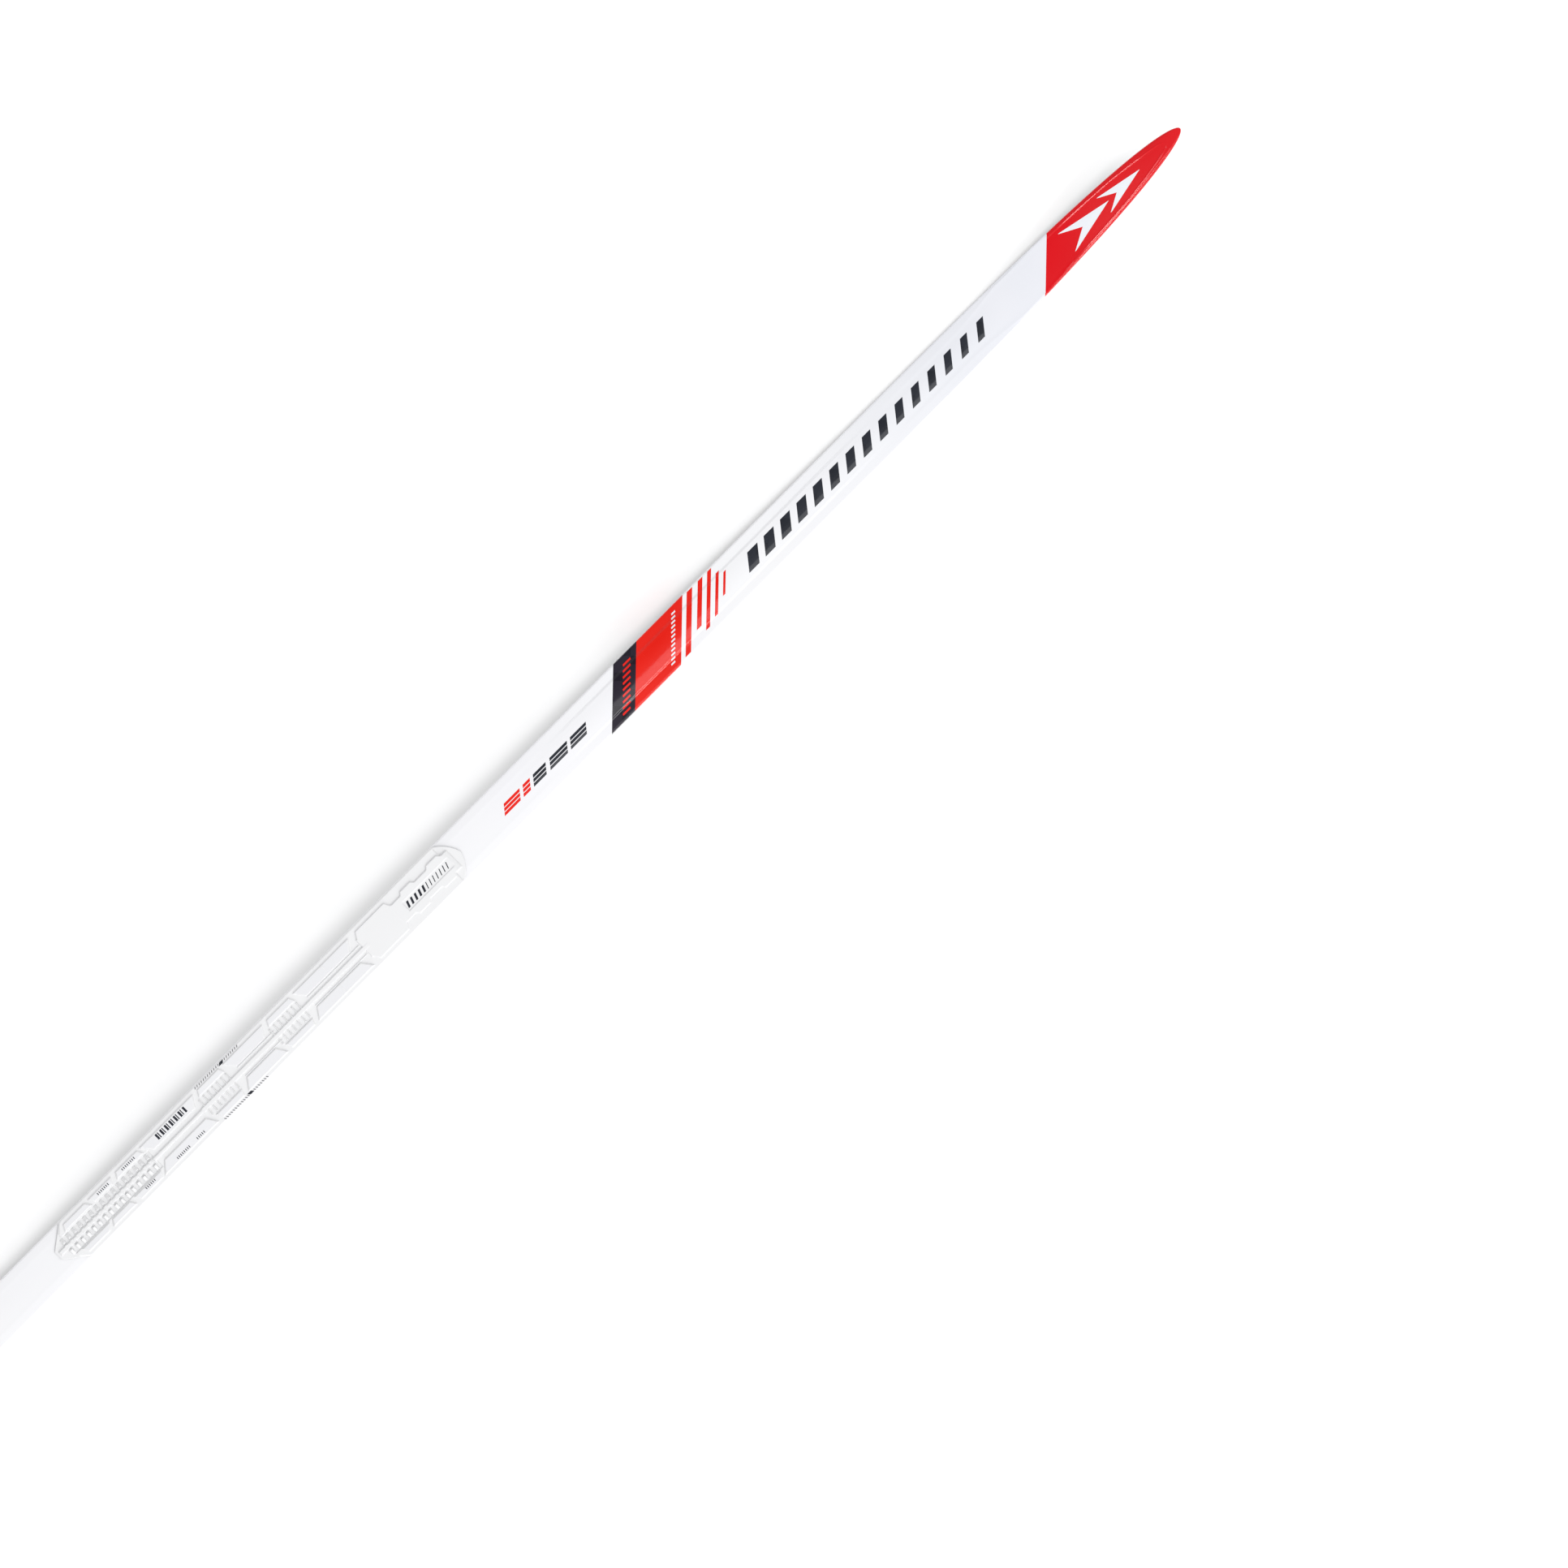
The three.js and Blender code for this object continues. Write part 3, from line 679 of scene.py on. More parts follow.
def sheetLength(name, start, end, material, startSlant, endSlant):
    t, thick = topSheet, capShape["skin"]
    half = len(capProfile(0)[0][0])
    columns = np.arange(2 * half - 1)
    side = np.sign(columns - half + 1)
    pick = half - 1 - np.abs(columns - half + 1)

    def slantedLine(place, slant):
        x = np.full(len(columns), float(place))
        for _ in range(t["settling"]):
            x = np.minimum(place + slant * t["slant"] * side * capProfile(x)[0][columns, pick], tipX)
        return x

    first, last = slantedLine(start, startSlant), slantedLine(end, endSlant)
    rings = []
    for part in (placesAlong(start, end) - start) / (end - start):
        x = first + (last - first) * part
        y, z = (v[columns, pick] for v in capProfile(x))
        y, lift = side * y, baseHeight(x)
        squeeze = np.maximum(t["leastSqueeze"], 1 - thick / np.maximum(halfWidth(x), t["leastHalf"]))
        low = np.maximum(z - thick, capShape["foot"])
        outer, inner = np.stack([x, y, z + lift], 1), np.stack([x, y * squeeze, low + lift], 1)
        rings.append(np.concatenate([outer, inner[::-1]]))
    return loftPiece(name, rings, material)


def makeTopSheet():
    t = topSheet
    rear = skiShape["laminateRear"]
    lengths = [
        ("topSheetRear", rear, t["bandRear"], whiteLacquer, 0, 1, "lacquer"),
        ("blackBand", t["bandRear"], t["bandFront"], blackPrint, 1, 1, "print_black"),
        ("redBlock", t["bandFront"], t["blockFront"], redPrint, 1, 1, "print_red"),
        ("topSheetFront", t["blockFront"], t["tipRear"], whiteLacquer, 1, 1, "lacquer"),
        ("redTip", t["tipRear"], tipX, tipRed, 1, 0, "print_red"),
    ]
    for name, start, end, material, startSlant, endSlant, slot in lengths:
        piece = sheetLength(name, start, end, material, startSlant, endSlant)
        finishPiece(piece, "top_sheet")


makeTopSheet()
print("top sheet ready")


# Print that stands on the top sheet or the plate, as thin ink laid over the surface

inkLayer = dict(above=0.06, below=0.14, grid=0.9, sharp=50)


def inkPatch(corners, heightAt):  # corners go round the patch; two opposite sides are divided alike
    a, b, c, d = (np.array(p, float) for p in corners)
    rows, columns = (max(2, int(np.linalg.norm(v - a) / inkLayer["grid"]) + 1) for v in (b, d))
    s, t = np.meshgrid(np.linspace(0, 1, rows), np.linspace(0, 1, columns), indexing="ij")
    s, t = s[..., None], t[..., None]
    flat = (a * (1 - s) + b * s) * (1 - t) + (d * (1 - s) + c * s) * t
    level = heightAt(flat[..., 0], flat[..., 1])
    lifts = inkLayer["above"], -inkLayer["below"]
    top, bottom = (np.dstack([flat, level + lift]).reshape(-1, 3) for lift in lifts)
    sheet = gridFaces(rows, columns)
    faces = sheet + [[i + len(top) for i in face[::-1]] for face in sheet]
    order = np.arange(rows * columns).reshape(rows, columns)
    rim = [*order[0], *order[1:, -1], *order[-1, -2::-1], *order[-2:0:-1, 0]]
    for p, q in zip(rim, rim[1:] + rim[:1]):
        faces.append([p, p + len(top), q + len(top), q])
    (ux, uy), (vx, vy) = b - a, d - a
    turn = 1 if ux * vy - uy * vx > 0 else -1
    return np.concatenate([top, bottom]), [face[::turn] for face in faces]


def inkPiece(name, patches, material, node, heightAt=skinHeight):
    points, faces, count = [], [], 0
    for corners in patches:
        patchPoints, patchFaces = inkPatch(corners, heightAt)
        points.append(patchPoints)
        faces += [[i + count for i in face] for face in patchFaces]
        count += len(patchPoints)
    piece = meshPiece(name, np.concatenate(points), faces, material, inkLayer["sharp"])
    return finishPiece(piece, node)


def slantedBar(x, width, low, high, slant):  # a parallelogram across the ski, its ends along the ski's length
    rear, front = x + slant * low, x + slant * high
    return [(rear, low), (rear + width, low), (front + width, high), (front, high)]


printMarks = dict(
    speed=dict(rear=457, front=769, half=7.2, slant=0.8, count=15, fill=(0.62, 0.4)),  # ink in each step
    slashes=[  # place, width, and the reach across
        (378, 7, -20, 20.5),
        (392, 6, -10, 20.5),
        (404, 5, -16, 20.5),
        (415, 4, -13, 14),
        (425, 3, -5, 10),
    ],
    dashes=[(147, 20), (171, 9), (184, 16), (205, 22), (231, 20)],
    dashRows=(-5.7, -2.6, 0.5),
    dashHeight=2.4,
    dashSlant=0.8,
    redDashes=2,  # how many of the dashes are red
    darts=[(915, 33, 52, 11), (954, 29, 44, 9)],  # nose, width along, reach back and reach across
    dartCut=1.5,
    bandTicks=dict(place=303, across=(-17.5, 17.5), pitch=3.9, length=9.5, width=1.7),
    blockTicks=dict(place=362, across=(-16.5, 16), pitch=2.9, length=4.8, width=1.4),
    tickSlant=0.5,
    boundary=(0.9, 1.6),  # width, and distance from the ski's edge
)


def makePrintMarks():
    p, bars = printMarks, printMarks["speed"]
    step = (bars["front"] - bars["rear"]) / bars["count"]
    fills = np.linspace(*bars["fill"], bars["count"])
    speed = [
        slantedBar(bars["rear"] + i * step, step * fill, -bars["half"], bars["half"], bars["slant"])
        for i, fill in enumerate(fills)
    ]
    slashes = [slantedBar(*slash, topSheet["slant"]) for slash in p["slashes"]]
    dashes = [
        slantedBar(x, length, y, y + p["dashHeight"], p["dashSlant"])
        for x, length in p["dashes"]
        for y in p["dashRows"]
    ]
    redCount = p["redDashes"] * len(p["dashRows"])
    darts = []
    for nose, width, back, reach in p["darts"]:
        tail = nose - back
        for y in (-reach, reach):
            darts.append([(nose - width, 0), (nose, 0), (tail, y), (tail - p["dartCut"], y)])
    width, inset = p["boundary"]
    edge = float(halfWidth(topSheet["tipRear"])) - inset
    boundary = slantedBar(topSheet["tipRear"] - 0.5 * width, width, -edge, edge, topSheet["slant"])

    def ticks(place, across, pitch, length, width):
        slant = p["tickSlant"]
        rows = np.arange(*across, pitch)
        return [slantedBar(place + (1 - slant) * y - length / 2, length, y, y + width, slant) for y in rows]

    for name, patches, material, slot in (
        ("speedBars", speed, darkInk, "print_black"),
        ("redSlashes", slashes, redPrint, "print_red"),
        ("redDashes", dashes[:redCount], redPrint, "print_red"),
        ("blackDashes", dashes[redCount:], darkInk, "print_black"),
        ("tipDarts", darts, paleInk, "lacquer"),
        ("bandTicks", ticks(**p["bandTicks"]), redPrint, "print_red"),
        ("blockTicks", ticks(**p["blockTicks"]), paleInk, "lacquer"),
        ("boundaryLine", [boundary], paleInk, "lacquer"),
    ):
        inkPiece(name, patches, material, "top_sheet")


makePrintMarks()
print("print ready")


# Layers under the skin

layerHeights = dict(
    base=(0, 1.4),
    baseEdge=0.35,
    glass=(1.5, 1.9),
    carbon=(2.0, 2.6),
    groove=dict(half=3.2, depth=0.9, places=(-960, -930, 660, 730), soft=(0.72, 1.08), reach=1.5, count=15),
    spacing=5.0,
    plyFront=1000,
    capInset=0.6,
    capThickness=0.9,
    capFront=996,
    leastSqueeze=0.12,
)


def makeRunningBase():
    groove = layerHeights["groove"]
    low, high = layerHeights["base"]
    bevel = layerHeights["baseEdge"]
    rings = []
    for x in placesAlong(skiShape["laminateRear"], tipX, layerHeights["spacing"]):
        half = float(halfWidth(x))
        wide = min(groove["half"], 0.5 * half)
        depth = groove["depth"] * float(fade(groove["places"], x))
        edge = min(bevel, 0.4 * half)
        parts = np.linspace(-groove["reach"], groove["reach"], groove["count"])
        roof = low + depth * (1 - smooth(*groove["soft"], np.abs(parts)))
        back = np.linspace(half, -half, 5)[1:-1]
        ys = np.concatenate([[-half, -half, edge - half], parts * wide, [half - edge, half, half], back])
        flat = np.full(len(back), high)
        zs = np.concatenate([[high, low + bevel, low], roof, [low, low + bevel, high], flat])
        rings.append(np.stack([np.full(len(ys), x), ys, zs + float(baseHeight(x))], 1))
    return finishPiece(loftPiece("runningBaseSheet", rings, baseSheet), "running_base")


def makeFlatPly(name, layer, material, node):
    rings = []
    for x in placesAlong(skiShape["laminateRear"], layerHeights["plyFront"], layerHeights["spacing"]):
        low, high = layerHeights[layer] + baseHeight(x)
        rings.append(flatSection(x, float(halfWidth(x)), 7, low, high))
    return finishPiece(loftPiece(name, rings, material), node)


def makeCapPly():  # the carbon shell just under the top sheet
    inset, thick = layerHeights["capInset"], layerHeights["capThickness"]
    rings = []
    for x in placesAlong(skiShape["laminateRear"], layerHeights["capFront"], layerHeights["spacing"]):
        ys, zs = (v[0] for v in capProfile(x))
        ring = []
        for depth, turn in ((inset, 1), (inset + thick, -1)):
            squeeze = max(layerHeights["leastSqueeze"], 1 - depth / ys[0])
            ring.append(mirrored(x, ys * squeeze, np.maximum(zs - depth, capShape["foot"]))[::turn])
        rings.append(np.concatenate(ring) + (0, 0, float(baseHeight(x))))
    return finishPiece(loftPiece("capCarbonShell", rings, carbonFibre), "cap_carbon_ply")


makeRunningBase()
makeFlatPly("baseGlassPly", "glass", glassFibre, "base_glass_ply")
makeFlatPly("baseCarbonPly", "carbon", carbonFibre, "base_carbon_ply")
makeCapPly()
print("layers ready")


# Tail protector: a moulded block with the ski's outline, and a tongue that goes in between the plies

tailBlock = dict(
    front=-989.3,
    rings=22,
    crowding=1.6,  # the sections crowd towards the tail's end
    round=14,
    roundPower=3,
    blunt=0.45,
    edge=0.6,
    edgeReach=2.5,
    topEdge=1.6,  # how much more the top rounds off than the foot
    footTop=3,
    footEdge=0.5,
    tongueHalf=12,
    tongueEnd=-978.3,
    tongueFloor=2.8,
    tongueDrop=2.0,
)


def makeTailProtector():
    t = tailBlock
    rings = []
    for x in tailX + (t["front"] - tailX) * np.linspace(0, 1, t["rings"]) ** t["crowding"]:
        along = 1 - min(1, (x - tailX) / t["round"])
        narrow = t["blunt"] + (1 - t["blunt"]) * (1 - along ** t["roundPower"]) ** (1 / t["roundPower"])
        ys, zs = (v[0] for v in capProfile(x))
        lower = t["edge"] * max(0, 1 - (x - tailX) / t["edgeReach"]) ** 2
        ys, zs = ys * narrow, np.where(zs > t["footTop"], zs - t["topEdge"] * lower, zs)
        ys = np.concatenate([[ys[0] - t["footEdge"], ys[0]], ys])
        zs = np.concatenate([[lower, lower + t["footEdge"]], zs])
        rings.append(mirrored(x, ys, zs) + (0, 0, float(baseHeight(x))))
    block = loftPiece("tailBlock", rings, protectorPlastic, 40)
    tongue = []
    for x in (t["front"] - 2, *np.linspace(t["front"], t["tongueEnd"], 5)):
        ys = np.array([-1, 1, 1, -1]) * t["tongueHalf"]
        zs = np.repeat([t["tongueFloor"], float(thickness(x)) - t["tongueDrop"]], 2) + float(baseHeight(x))
        tongue.append(np.stack([np.full(4, x), ys, zs], 1))
    piece = joinPieces("tailProtectorBlock", [block, loftPiece("tailTongue", tongue, protectorPlastic)])
    return finishPiece(piece, "tail_protector")


makeTailProtector()
print("tail protector ready")


# Binding plate and the adhesive pad under it. Heights are above the plate's seat.

platePlan = dict(
    rear=-419,
    front=92,
    halfWidth=21.5,
    rearHalf=5,
    chamfer=22,
    noseLength=18,
    nosePower=1.45,
    seat=0.5,
    edgeTop=0.5,
    flange=1.0,
    floor=2.1,
    deck=(-406, 76, 21.1),  # rear, front and half width of the raised floor
    ramp=(0.8, 5.0, 1.2, 0.3),  # the floor's side slope: width, more at the rear, reach of that, and inset
    bevel=1.1,
    fine=0.6,  # narrower bevels, from the lips up to the hooks
    ribBevel=0.7,
    toothBevel=0.8,
    hookBevel=0.9,
    padTop=3.7,
    smallPads=[  # rear and front at the inner edge, then at the outer edge
        (-400, -364.3, -396.6, -369.4),
        (-361.4, -338.9, -365.8, -335.2),
        (-333.8, -298.9, -330.1, -302.5),
        (-229.8, -196.2, -226, -198.5),
        (-141.4, -106.5, -138, -109.5),
    ],
    smallPadAcross=(10.5, 17.3),
    largePads=[
        (-290.9, -238.0, -300.5, -231.0),
        (-186.2, -149.5, -194.5, -142.7),
        (-97.5, -41.7, -105.0, -33.5),
    ],
    largePadAcross=(6.2, 17.3),
    padRib=(-69.8, -68.2, 3.9),
    lip=(4.7, 6.0, 3.1),
    lipReach=10,
    longLadder=dict(
        rear=-409,
        pitch=7.1,
        count=16,
        length=4.0,
        across=(3.3, 9.2),
        top=3.9,
        slopeFrom=4.4,
        fall=2.1,
        floor=0.9,
        floorMargin=2,
        floorAcross=(1.8, 10.1),
        bumps=(-0.9, 3.2, 2.7, 3.3),
    ),
    shortLadders=[(-232, 5.6, 7), (-142.7, 5.67, 7)],
    ribAcross=(-9.4, 9.4),
    ribWidth=1.7,
    ribTop=4.0,
    rails=[  # rear, front, half width and height of the bars along the middle
        (-298, -190, 2.1, 3.9),
        (-236, -24, 2.6, 3.9),
        (-409, -298, 2.0, 2.8),
        (-417, -404, 2.5, 3.0),
    ],
    panel=dict(ends=(-31, 15), outerEnds=(-26, 10.5), across=(10, 16.9), top=3.7),
    noseBody=(12, 84, 10.9, 3.9),
    noseSlope=7,
    noseChannel=(22, 80, 5.4, 3.1),
    hooks=[(23.6, 45), (56.4, 78)],
    hookTaper=4.4,
    hookAcross=(9, 13.7),
    grid=(0.5, 0.4),
)


def plateHalf(x):
    p = platePlan
    fromNose = np.clip((x - (p["front"] - p["noseLength"])) / p["noseLength"], 0, 1)
    nose = p["halfWidth"] * (1 - fromNose ** p["nosePower"]) ** (1 / p["nosePower"])
    chamfer = np.clip((x - p["rear"]) / p["chamfer"], 0, 1)
    return np.maximum(1.2, np.minimum(nose, p["rearHalf"] + (p["halfWidth"] - p["rearHalf"]) * chamfer))


def raisedBlock(x, y, ends, across, soft, outerEnds=None):  # 1 inside the block, easing to 0 at its edges
    outerEnds = outerEnds or ends
    share = (y - across[0]) / (across[1] - across[0])
    rear, front = (inner + (outer - inner) * share for inner, outer in zip(ends, outerEnds))
    inward = np.minimum(np.minimum(x - rear, front - x), np.minimum(y - across[0], across[1] - y))
    return smooth(0, soft, inward)


def plateRelief(x, y):
    p, bevel = platePlan, platePlan["bevel"]
    y = np.abs(y)
    inward = plateHalf(x) - y
    level = p["edgeTop"] + (p["flange"] - p["edgeTop"]) * smooth(0, p["fine"], inward)
    rear, front, half = p["deck"]
    slope, extra, reach, inset = p["ramp"]
    ramp = slope + extra * (1 - smooth(0, p["chamfer"] * reach, x - p["rear"]))
    deck = raisedBlock(x, y, (rear, front), (-half, half), p["hookBevel"]) * smooth(0, ramp, inward - inset)
    level = level + (p["floor"] - p["flange"]) * deck

    def raiseTo(top, ends, across, outerEnds=None, soft=bevel):
        return np.maximum(level, level + (top - level) * raisedBlock(x, y, ends, across, soft, outerEnds))

    def sinkTo(bottom, ends, across):
        return level - (level - np.minimum(level, bottom)) * raisedBlock(x, y, ends, across, p["toothBevel"])

    for pads, across in ((p["smallPads"], p["smallPadAcross"]), (p["largePads"], p["largePadAcross"])):
        for pad in pads:
            level = raiseTo(p["padTop"], pad[:2], across, pad[2:])
    *ends, top = p["padRib"]
    level = raiseTo(top, ends, p["largePadAcross"], soft=p["fine"])
    *across, top = p["lip"]
    for rear, front, _, _ in p["largePads"][1:]:
        level = raiseTo(top, (rear, front + p["lipReach"]), across, soft=p["fine"])
    for rear, front, half, top in p["rails"]:
        level = raiseTo(top, (rear, front), (-half, half))
    ladder = p["longLadder"]
    starts = ladder["rear"] + ladder["pitch"] * np.arange(ladder["count"])
    ends = ladder["rear"] - ladder["floorMargin"], starts[-1] + ladder["pitch"]
    level = sinkTo(ladder["floor"], ends, ladder["floorAcross"])
    slope = ladder["top"] - ladder["fall"] * smooth(ladder["slopeFrom"], ladder["across"][1], y)
    behind, ahead, half, top = ladder["bumps"]
    for start in starts:
        level = raiseTo(slope, (start, start + ladder["length"]), ladder["across"], soft=p["toothBevel"])
        level = raiseTo(top, (start + behind, start + ahead), (-half, half), soft=p["hookBevel"])
    for start, pitch, count in p["shortLadders"]:
        for rib in start + pitch * np.arange(count):
            level = raiseTo(p["ribTop"], (rib, rib + p["ribWidth"]), p["ribAcross"], soft=p["ribBevel"])
    panel = p["panel"]
    near, far = panel["across"]
    middle = raisedBlock(x, y, panel["ends"], (-near - 1, near + 1), bevel)
    wing = raisedBlock(x, y, panel["ends"], (near - 1, far), bevel, panel["outerEnds"])
    level = np.maximum(level, level + (panel["top"] - level) * np.maximum(middle, wing))
    rear, front, half, top = p["noseBody"]
    slopedTop = top - (top - p["floor"]) * smooth(front - p["noseSlope"], front, x)
    level = raiseTo(slopedTop, (rear, front), (-half, half))
    for rear, front in p["hooks"]:
        outerEnds = rear + p["hookTaper"], front - p["hookTaper"]
        level = raiseTo(top, (rear, front), p["hookAcross"], outerEnds, p["hookBevel"])
    rear, front, half, bottom = p["noseChannel"]
    return sinkTo(bottom, (rear, front), (-half, half))


def plateTop(x, y):
    return plateRelief(x, y) + topHeight(x) + platePlan["seat"]


def makeBindingPlate():
    p = platePlan
    alongStep, acrossStep = p["grid"]
    xs = np.linspace(p["rear"], p["front"], int((p["front"] - p["rear"]) / alongStep) + 1)
    count = int(2 * p["halfWidth"] / acrossStep) | 1  # odd, so that one column runs along the middle
    across = np.linspace(-1, 1, count)
    half = plateHalf(xs)[:, None]
    y = half * across[None, :]
    x = np.broadcast_to(xs[:, None], y.shape)
    seat = topHeight(xs)[:, None] + p["seat"]
    left, right = (np.dstack([xs[:, None], side * half, seat]) for side in (-1, 1))
    rings = np.concatenate([left, np.dstack([x, y, plateRelief(x, y) + seat]), right], 1)
    return finishPiece(loftPiece("bindingPlateBody", rings, platePlastic, 45), "binding_plate")


gluePad = dict(rear=-410, front=84, rings=100, halfWidth=19.8, edgeInset=1.5, above=0.1, thickness=0.3)


def makeGluePad():
    g = gluePad
    rings = []
    for x in np.linspace(g["rear"], g["front"], g["rings"]):
        half = min(g["halfWidth"], float(plateHalf(x)) - g["edgeInset"])
        foot = float(topHeight(x)) + g["above"]
        rings.append(flatSection(x, half, 9, foot, foot + g["thickness"]))
    return finishPiece(loftPiece("plateGluePad", rings, glueGrey), "plate_glue_pad")


makeBindingPlate()
makeGluePad()
print("binding plate ready")

plateMarks = dict(
    scale=dict(pitch=2.65, width=1.0, places=(-227, -172), across=(18.4, 20.2), slant=0.7),
    diamond=dict(place=-194.4, length=4.8, slant=0.9, across=(17.7, 20.8)),
    bars=dict(places=(-281.5, -245), count=13, wide=2.1, thin=1.0, across=(9.6, 15.4)),
    rows=[  # start, height of the row's middle, how many ticks
        (-355, 14.2, 7),
        (-324, 14.2, 8),
        (-281.5, -13.9, 8),
        (-256.5, -13.9, 5),
        (-320.5, -13.0, 6),
    ],
    rowTick=(0.8, 2.3, 2.1),  # width, height, pitch
    label=dict(start=24.5, thick=(5, 2.3, 4.9), thin=(7, 0.9, 4.2), half=3.0, slant=0.35),
    filmInset=1.5,
    filmSink=0.03,
)


def makePlateMarks():
    m = plateMarks
    scale, diamond, bars, label = m["scale"], m["diamond"], m["bars"], m["label"]
    onPlate, ticks = [], []
    for side in (-1, 1):
        for x in np.arange(*scale["places"], scale["pitch"]):
            low, high = (side * v for v in scale["across"])
            x -= scale["slant"] * scale["across"][0]
            ticks.append(slantedBar(x, scale["width"], low, high, side * scale["slant"]))
        low, high = (side * v for v in diamond["across"])
        x = diamond["place"] - diamond["length"] / 2 - diamond["slant"] * diamond["across"][0]
        onPlate.append(slantedBar(x, diamond["length"], low, high, side * diamond["slant"]))
    start, end = bars["places"]
    for i, x in enumerate(np.linspace(start, end - bars["wide"], bars["count"])):
        onPlate.append(slantedBar(x, bars["thin"] if i % 2 else bars["wide"], *bars["across"], 0))
    width, height, pitch = m["rowTick"]
    for start, middle, count in m["rows"]:
        for i in range(count):
            onPlate.append(slantedBar(start + i * pitch, width, middle - height / 2, middle + height / 2, 0))
    x = label["start"]
    for count, width, pitch in (label["thick"], label["thin"]):
        for _ in range(count):
            onPlate.append(slantedBar(x, width, -label["half"], label["half"], label["slant"]))
            x += pitch
    inkPiece("plateMarks", onPlate, darkInk, "binding_plate", plateTop)
    inkPiece("scaleTicks", ticks, scaleInk, "binding_plate", plateTop)


def makePadFilms():  # clear printed films on the raised pads
    p, inset = platePlan, plateMarks["filmInset"]
    films = []
    for pads, across in ((p["smallPads"], p["smallPadAcross"]), (p["largePads"], p["largePadAcross"])):
        low, high = across[0] + inset, across[1] - inset
        for rear, front, outerRear, outerFront in pads:
            corners = [(rear, low), (front, low), (outerFront, high), (outerRear, high)]
            corners = [(x + shift, y) for (x, y), shift in zip(corners, (inset, -inset, -inset, inset))]
            films += [[(x, side * y) for x, y in corners] for side in (-1, 1)]

    def filmHeight(x, y):
        return plateTop(x, y) - plateMarks["filmSink"]

    inkPiece("padFilms", films, filmPrint, "binding_plate", filmHeight)


makePadFilms()
makePlateMarks()
print("plate print ready")


# The inner fillings are seen only where the ski is cut open, so the CAD shapes stand for them

for node, material in (
    ("tail_spacer", spacerPlastic),
    ("tip_spacer", spacerPlastic),
    ("core_tail", lightFoam),
    ("core_shovel", lightFoam),
    ("core_waist", denseFoam),
    ("binding_mat", matFibre),
):
    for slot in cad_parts[node].material_slots:
        slot.link = "OBJECT"
        slot.material = material
print("inner fillings ready")


# Floor, lights and camera

studio = dict(
    floorSize=9.0,
    floorDrop=0.3,  # a thin gap, so that floor and base never share a plane
    floorGrid=7,
    floorGlow=0.25,  # the floor is a sheet of opal glass, lit a little from below
    ambient=0.79,
    overhead=0.08,  # the dark part of the surroundings, straight above
    overheadSpread=(16, 26),
    background=1.0,
    sunStrength=0.9,
    sunTilt=62,
    sunTurn=-25,
    sunSpread=40,
    lights=[  # name, tilt from overhead, distance, size along and across, brightness
        ("glossPanel", 10.1, 3.0, (3.2, 0.74), 3.4),
        ("keyStrip", 42.8, 3.0, (3.6, 0.125), 15.0),
    ],
    lens=600,
    sensor=36,
    clipEnd=40,
    frameWidth=1.405,
    viewCentre=(0.339, -0.1625, 0.03),
    viewTurn=-45.15,
)


def makeFloor():
    glow = {"Emission Color": (1, 1, 1, 1), "Emission Strength": studio["floorGlow"]}
    finish = Finish("studioFloor", **{"Specular IOR Level": 0.0}, **glow)
    tree = finish.tree
    grain = finish.effect(grainGroup, Scale=60.0)
    body = mixColor(tree, grain["Tone"], (0.9, 0.9, 0.9), (0.925, 0.925, 0.925))
    finish.link(body, "Base Color")
    finish.link(finish.rough(grain["Tone"], (0.85, 0.95)), "Roughness")
    half = studio["floorSize"] / 2 / mm
    count = studio["floorGrid"]
    places = np.linspace(-half, half, count)
    x, y = np.meshgrid(places, places, indexing="ij")
    points = np.dstack([x, y, np.full_like(x, -studio["floorDrop"])]).reshape(-1, 3)
    meshPiece("studioFloor", points, gridFaces(count, count), finish.material)


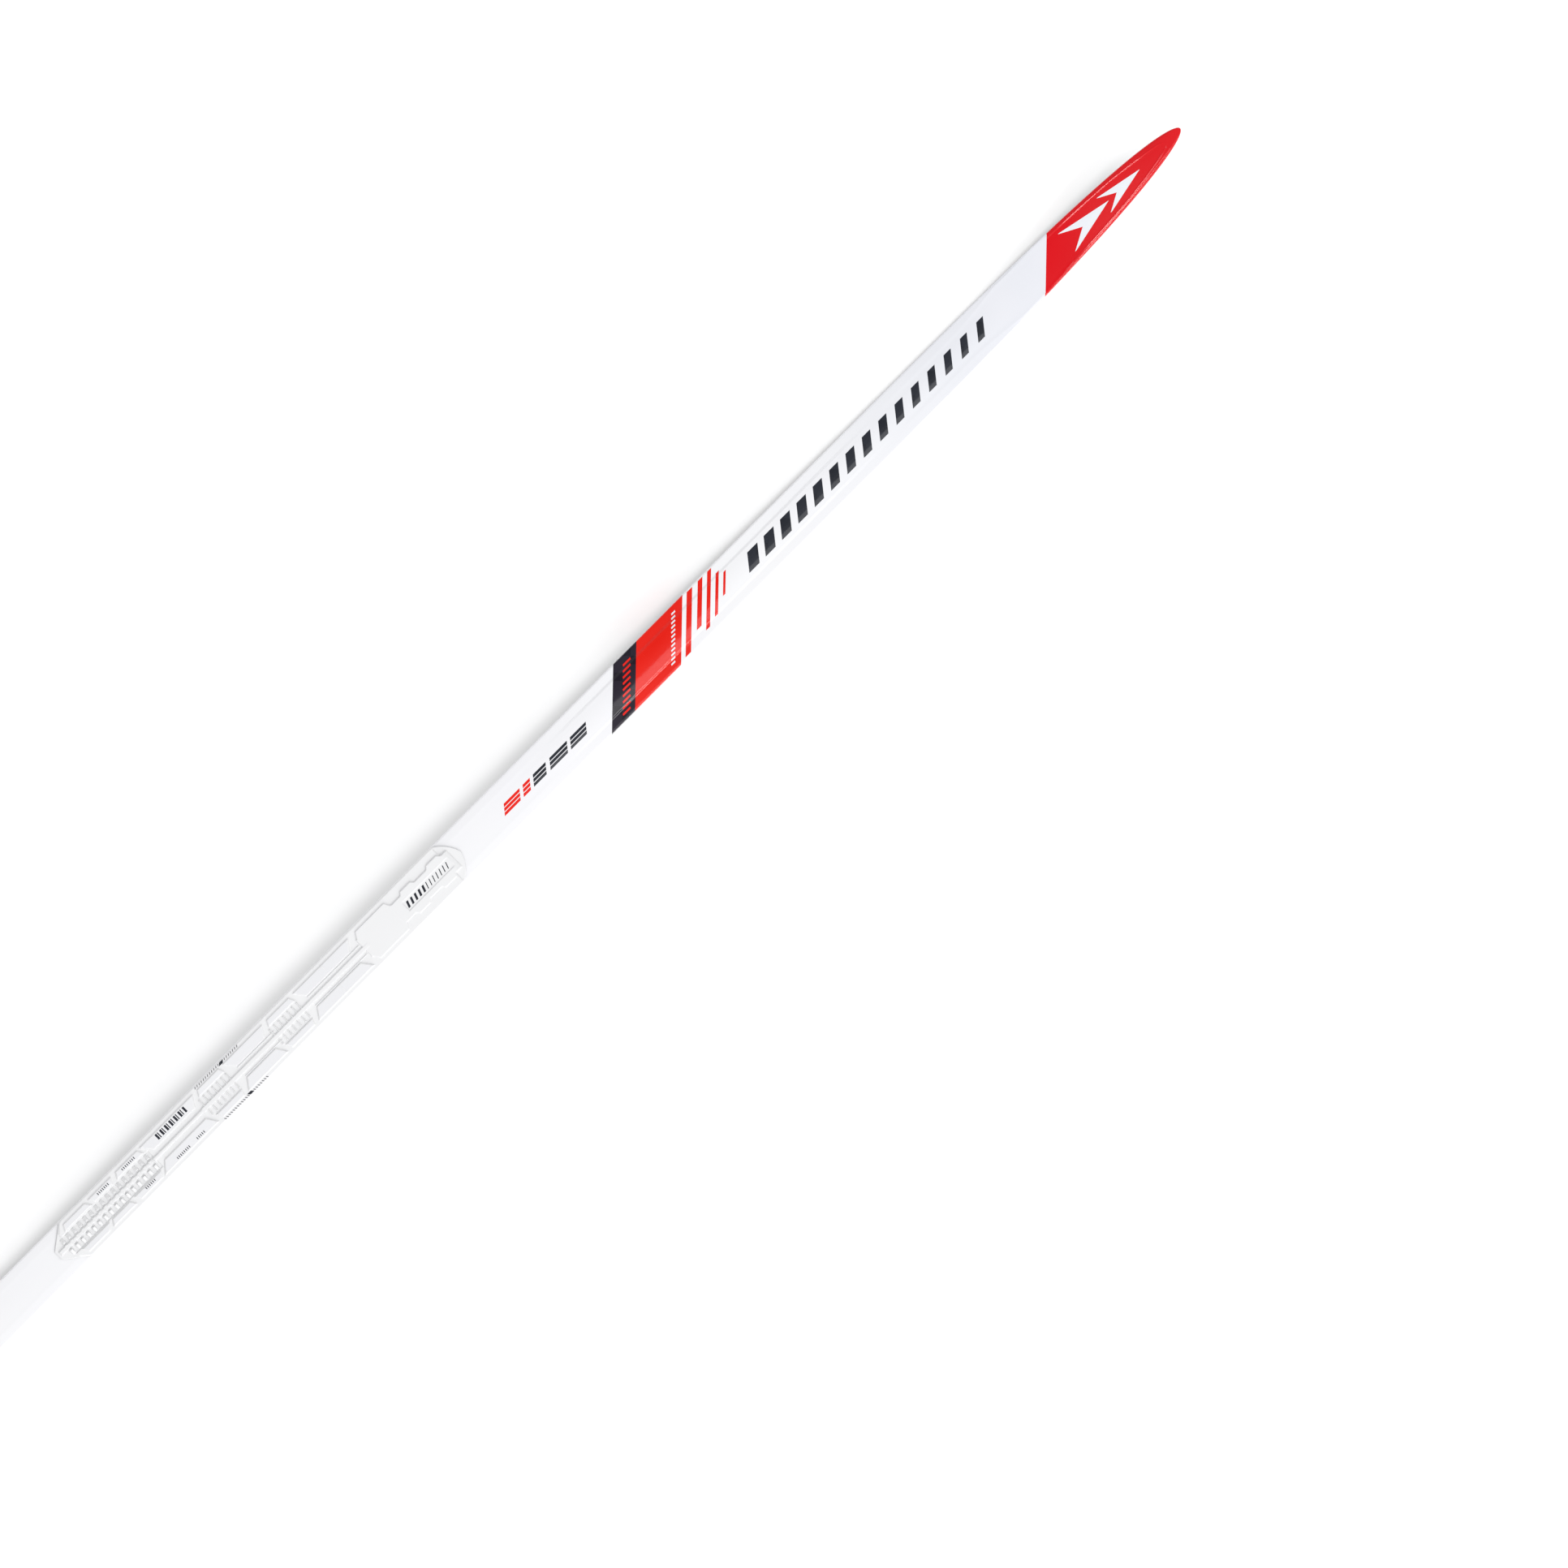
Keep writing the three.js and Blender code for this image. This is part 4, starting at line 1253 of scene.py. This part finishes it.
def makeWorld():
    world = bpy.data.worlds.new("studioWorld")
    bpy.context.scene.world = world
    world.use_nodes = True
    tree = world.node_tree
    shown = addNode(tree, "ShaderNodeBackground")
    setInputs(shown, {"Color": (1, 1, 1, 1), "Strength": studio["background"]})
    around = tree.nodes["Background"]
    setInputs(around, {"Color": (0.985, 0.99, 1, 1)})
    direction = addNode(tree, "ShaderNodeSeparateXYZ")
    tree.links.new(addNode(tree, "ShaderNodeTexCoord").outputs["Generated"], direction.inputs[0])
    near, far = (math.cos(math.radians(angle)) for angle in studio["overheadSpread"])
    bright = mapRange(tree, direction.outputs["Z"], far, near, studio["ambient"], studio["overhead"], True)
    tree.links.new(bright, around.inputs["Strength"])
    either = addNode(tree, "ShaderNodeMixShader")
    tree.links.new(addNode(tree, "ShaderNodeLightPath").outputs["Is Camera Ray"], either.inputs[0])
    tree.links.new(around.outputs[0], either.inputs[1])
    tree.links.new(shown.outputs[0], either.inputs[2])
    tree.links.new(either.outputs[0], tree.nodes["World Output"].inputs["Surface"])


def addLight(name, kind, **settings):
    light = bpy.data.lights.new(name, kind)
    for key, value in settings.items():
        setattr(light, key, value)
    lamp = bpy.data.objects.new(name, light)
    bpy.context.scene.collection.objects.link(lamp)
    return lamp


def makeLights():
    s = studio
    sun = addLight("wideWindow", "SUN", energy=s["sunStrength"], angle=math.radians(s["sunSpread"]))
    sun.rotation_euler = (math.radians(s["sunTilt"]), 0, math.radians(s["sunTurn"]))
    for name, tilt, distance, (length, width), brightness in s["lights"]:
        power = math.pi * length * width * brightness
        lamp = addLight(name, "AREA", energy=power, shape="RECTANGLE", size=length, size_y=width)
        tilt = math.radians(tilt)
        lamp.location = (s["viewCentre"][0], -distance * math.sin(tilt), distance * math.cos(tilt))
        lamp.rotation_euler = (tilt, 0, 0)


def makeCamera():
    s = studio
    data = bpy.data.cameras.new("straightDown")
    data.sensor_width = s["sensor"]
    data.lens = s["lens"]
    data.clip_end = s["clipEnd"]
    camera = bpy.data.objects.new("straightDown", data)
    bpy.context.scene.collection.objects.link(camera)
    x, y, z = s["viewCentre"]
    camera.location = (x, y, z + s["frameWidth"] * s["lens"] / s["sensor"])
    camera.rotation_euler = (0, 0, math.radians(s["viewTurn"]))
    bpy.context.scene.camera = camera


makeFloor()
makeWorld()
makeLights()
makeCamera()
bpy.context.scene.view_settings.view_transform = "Standard"
print("studio ready")

bpy.context.view_layer.update()
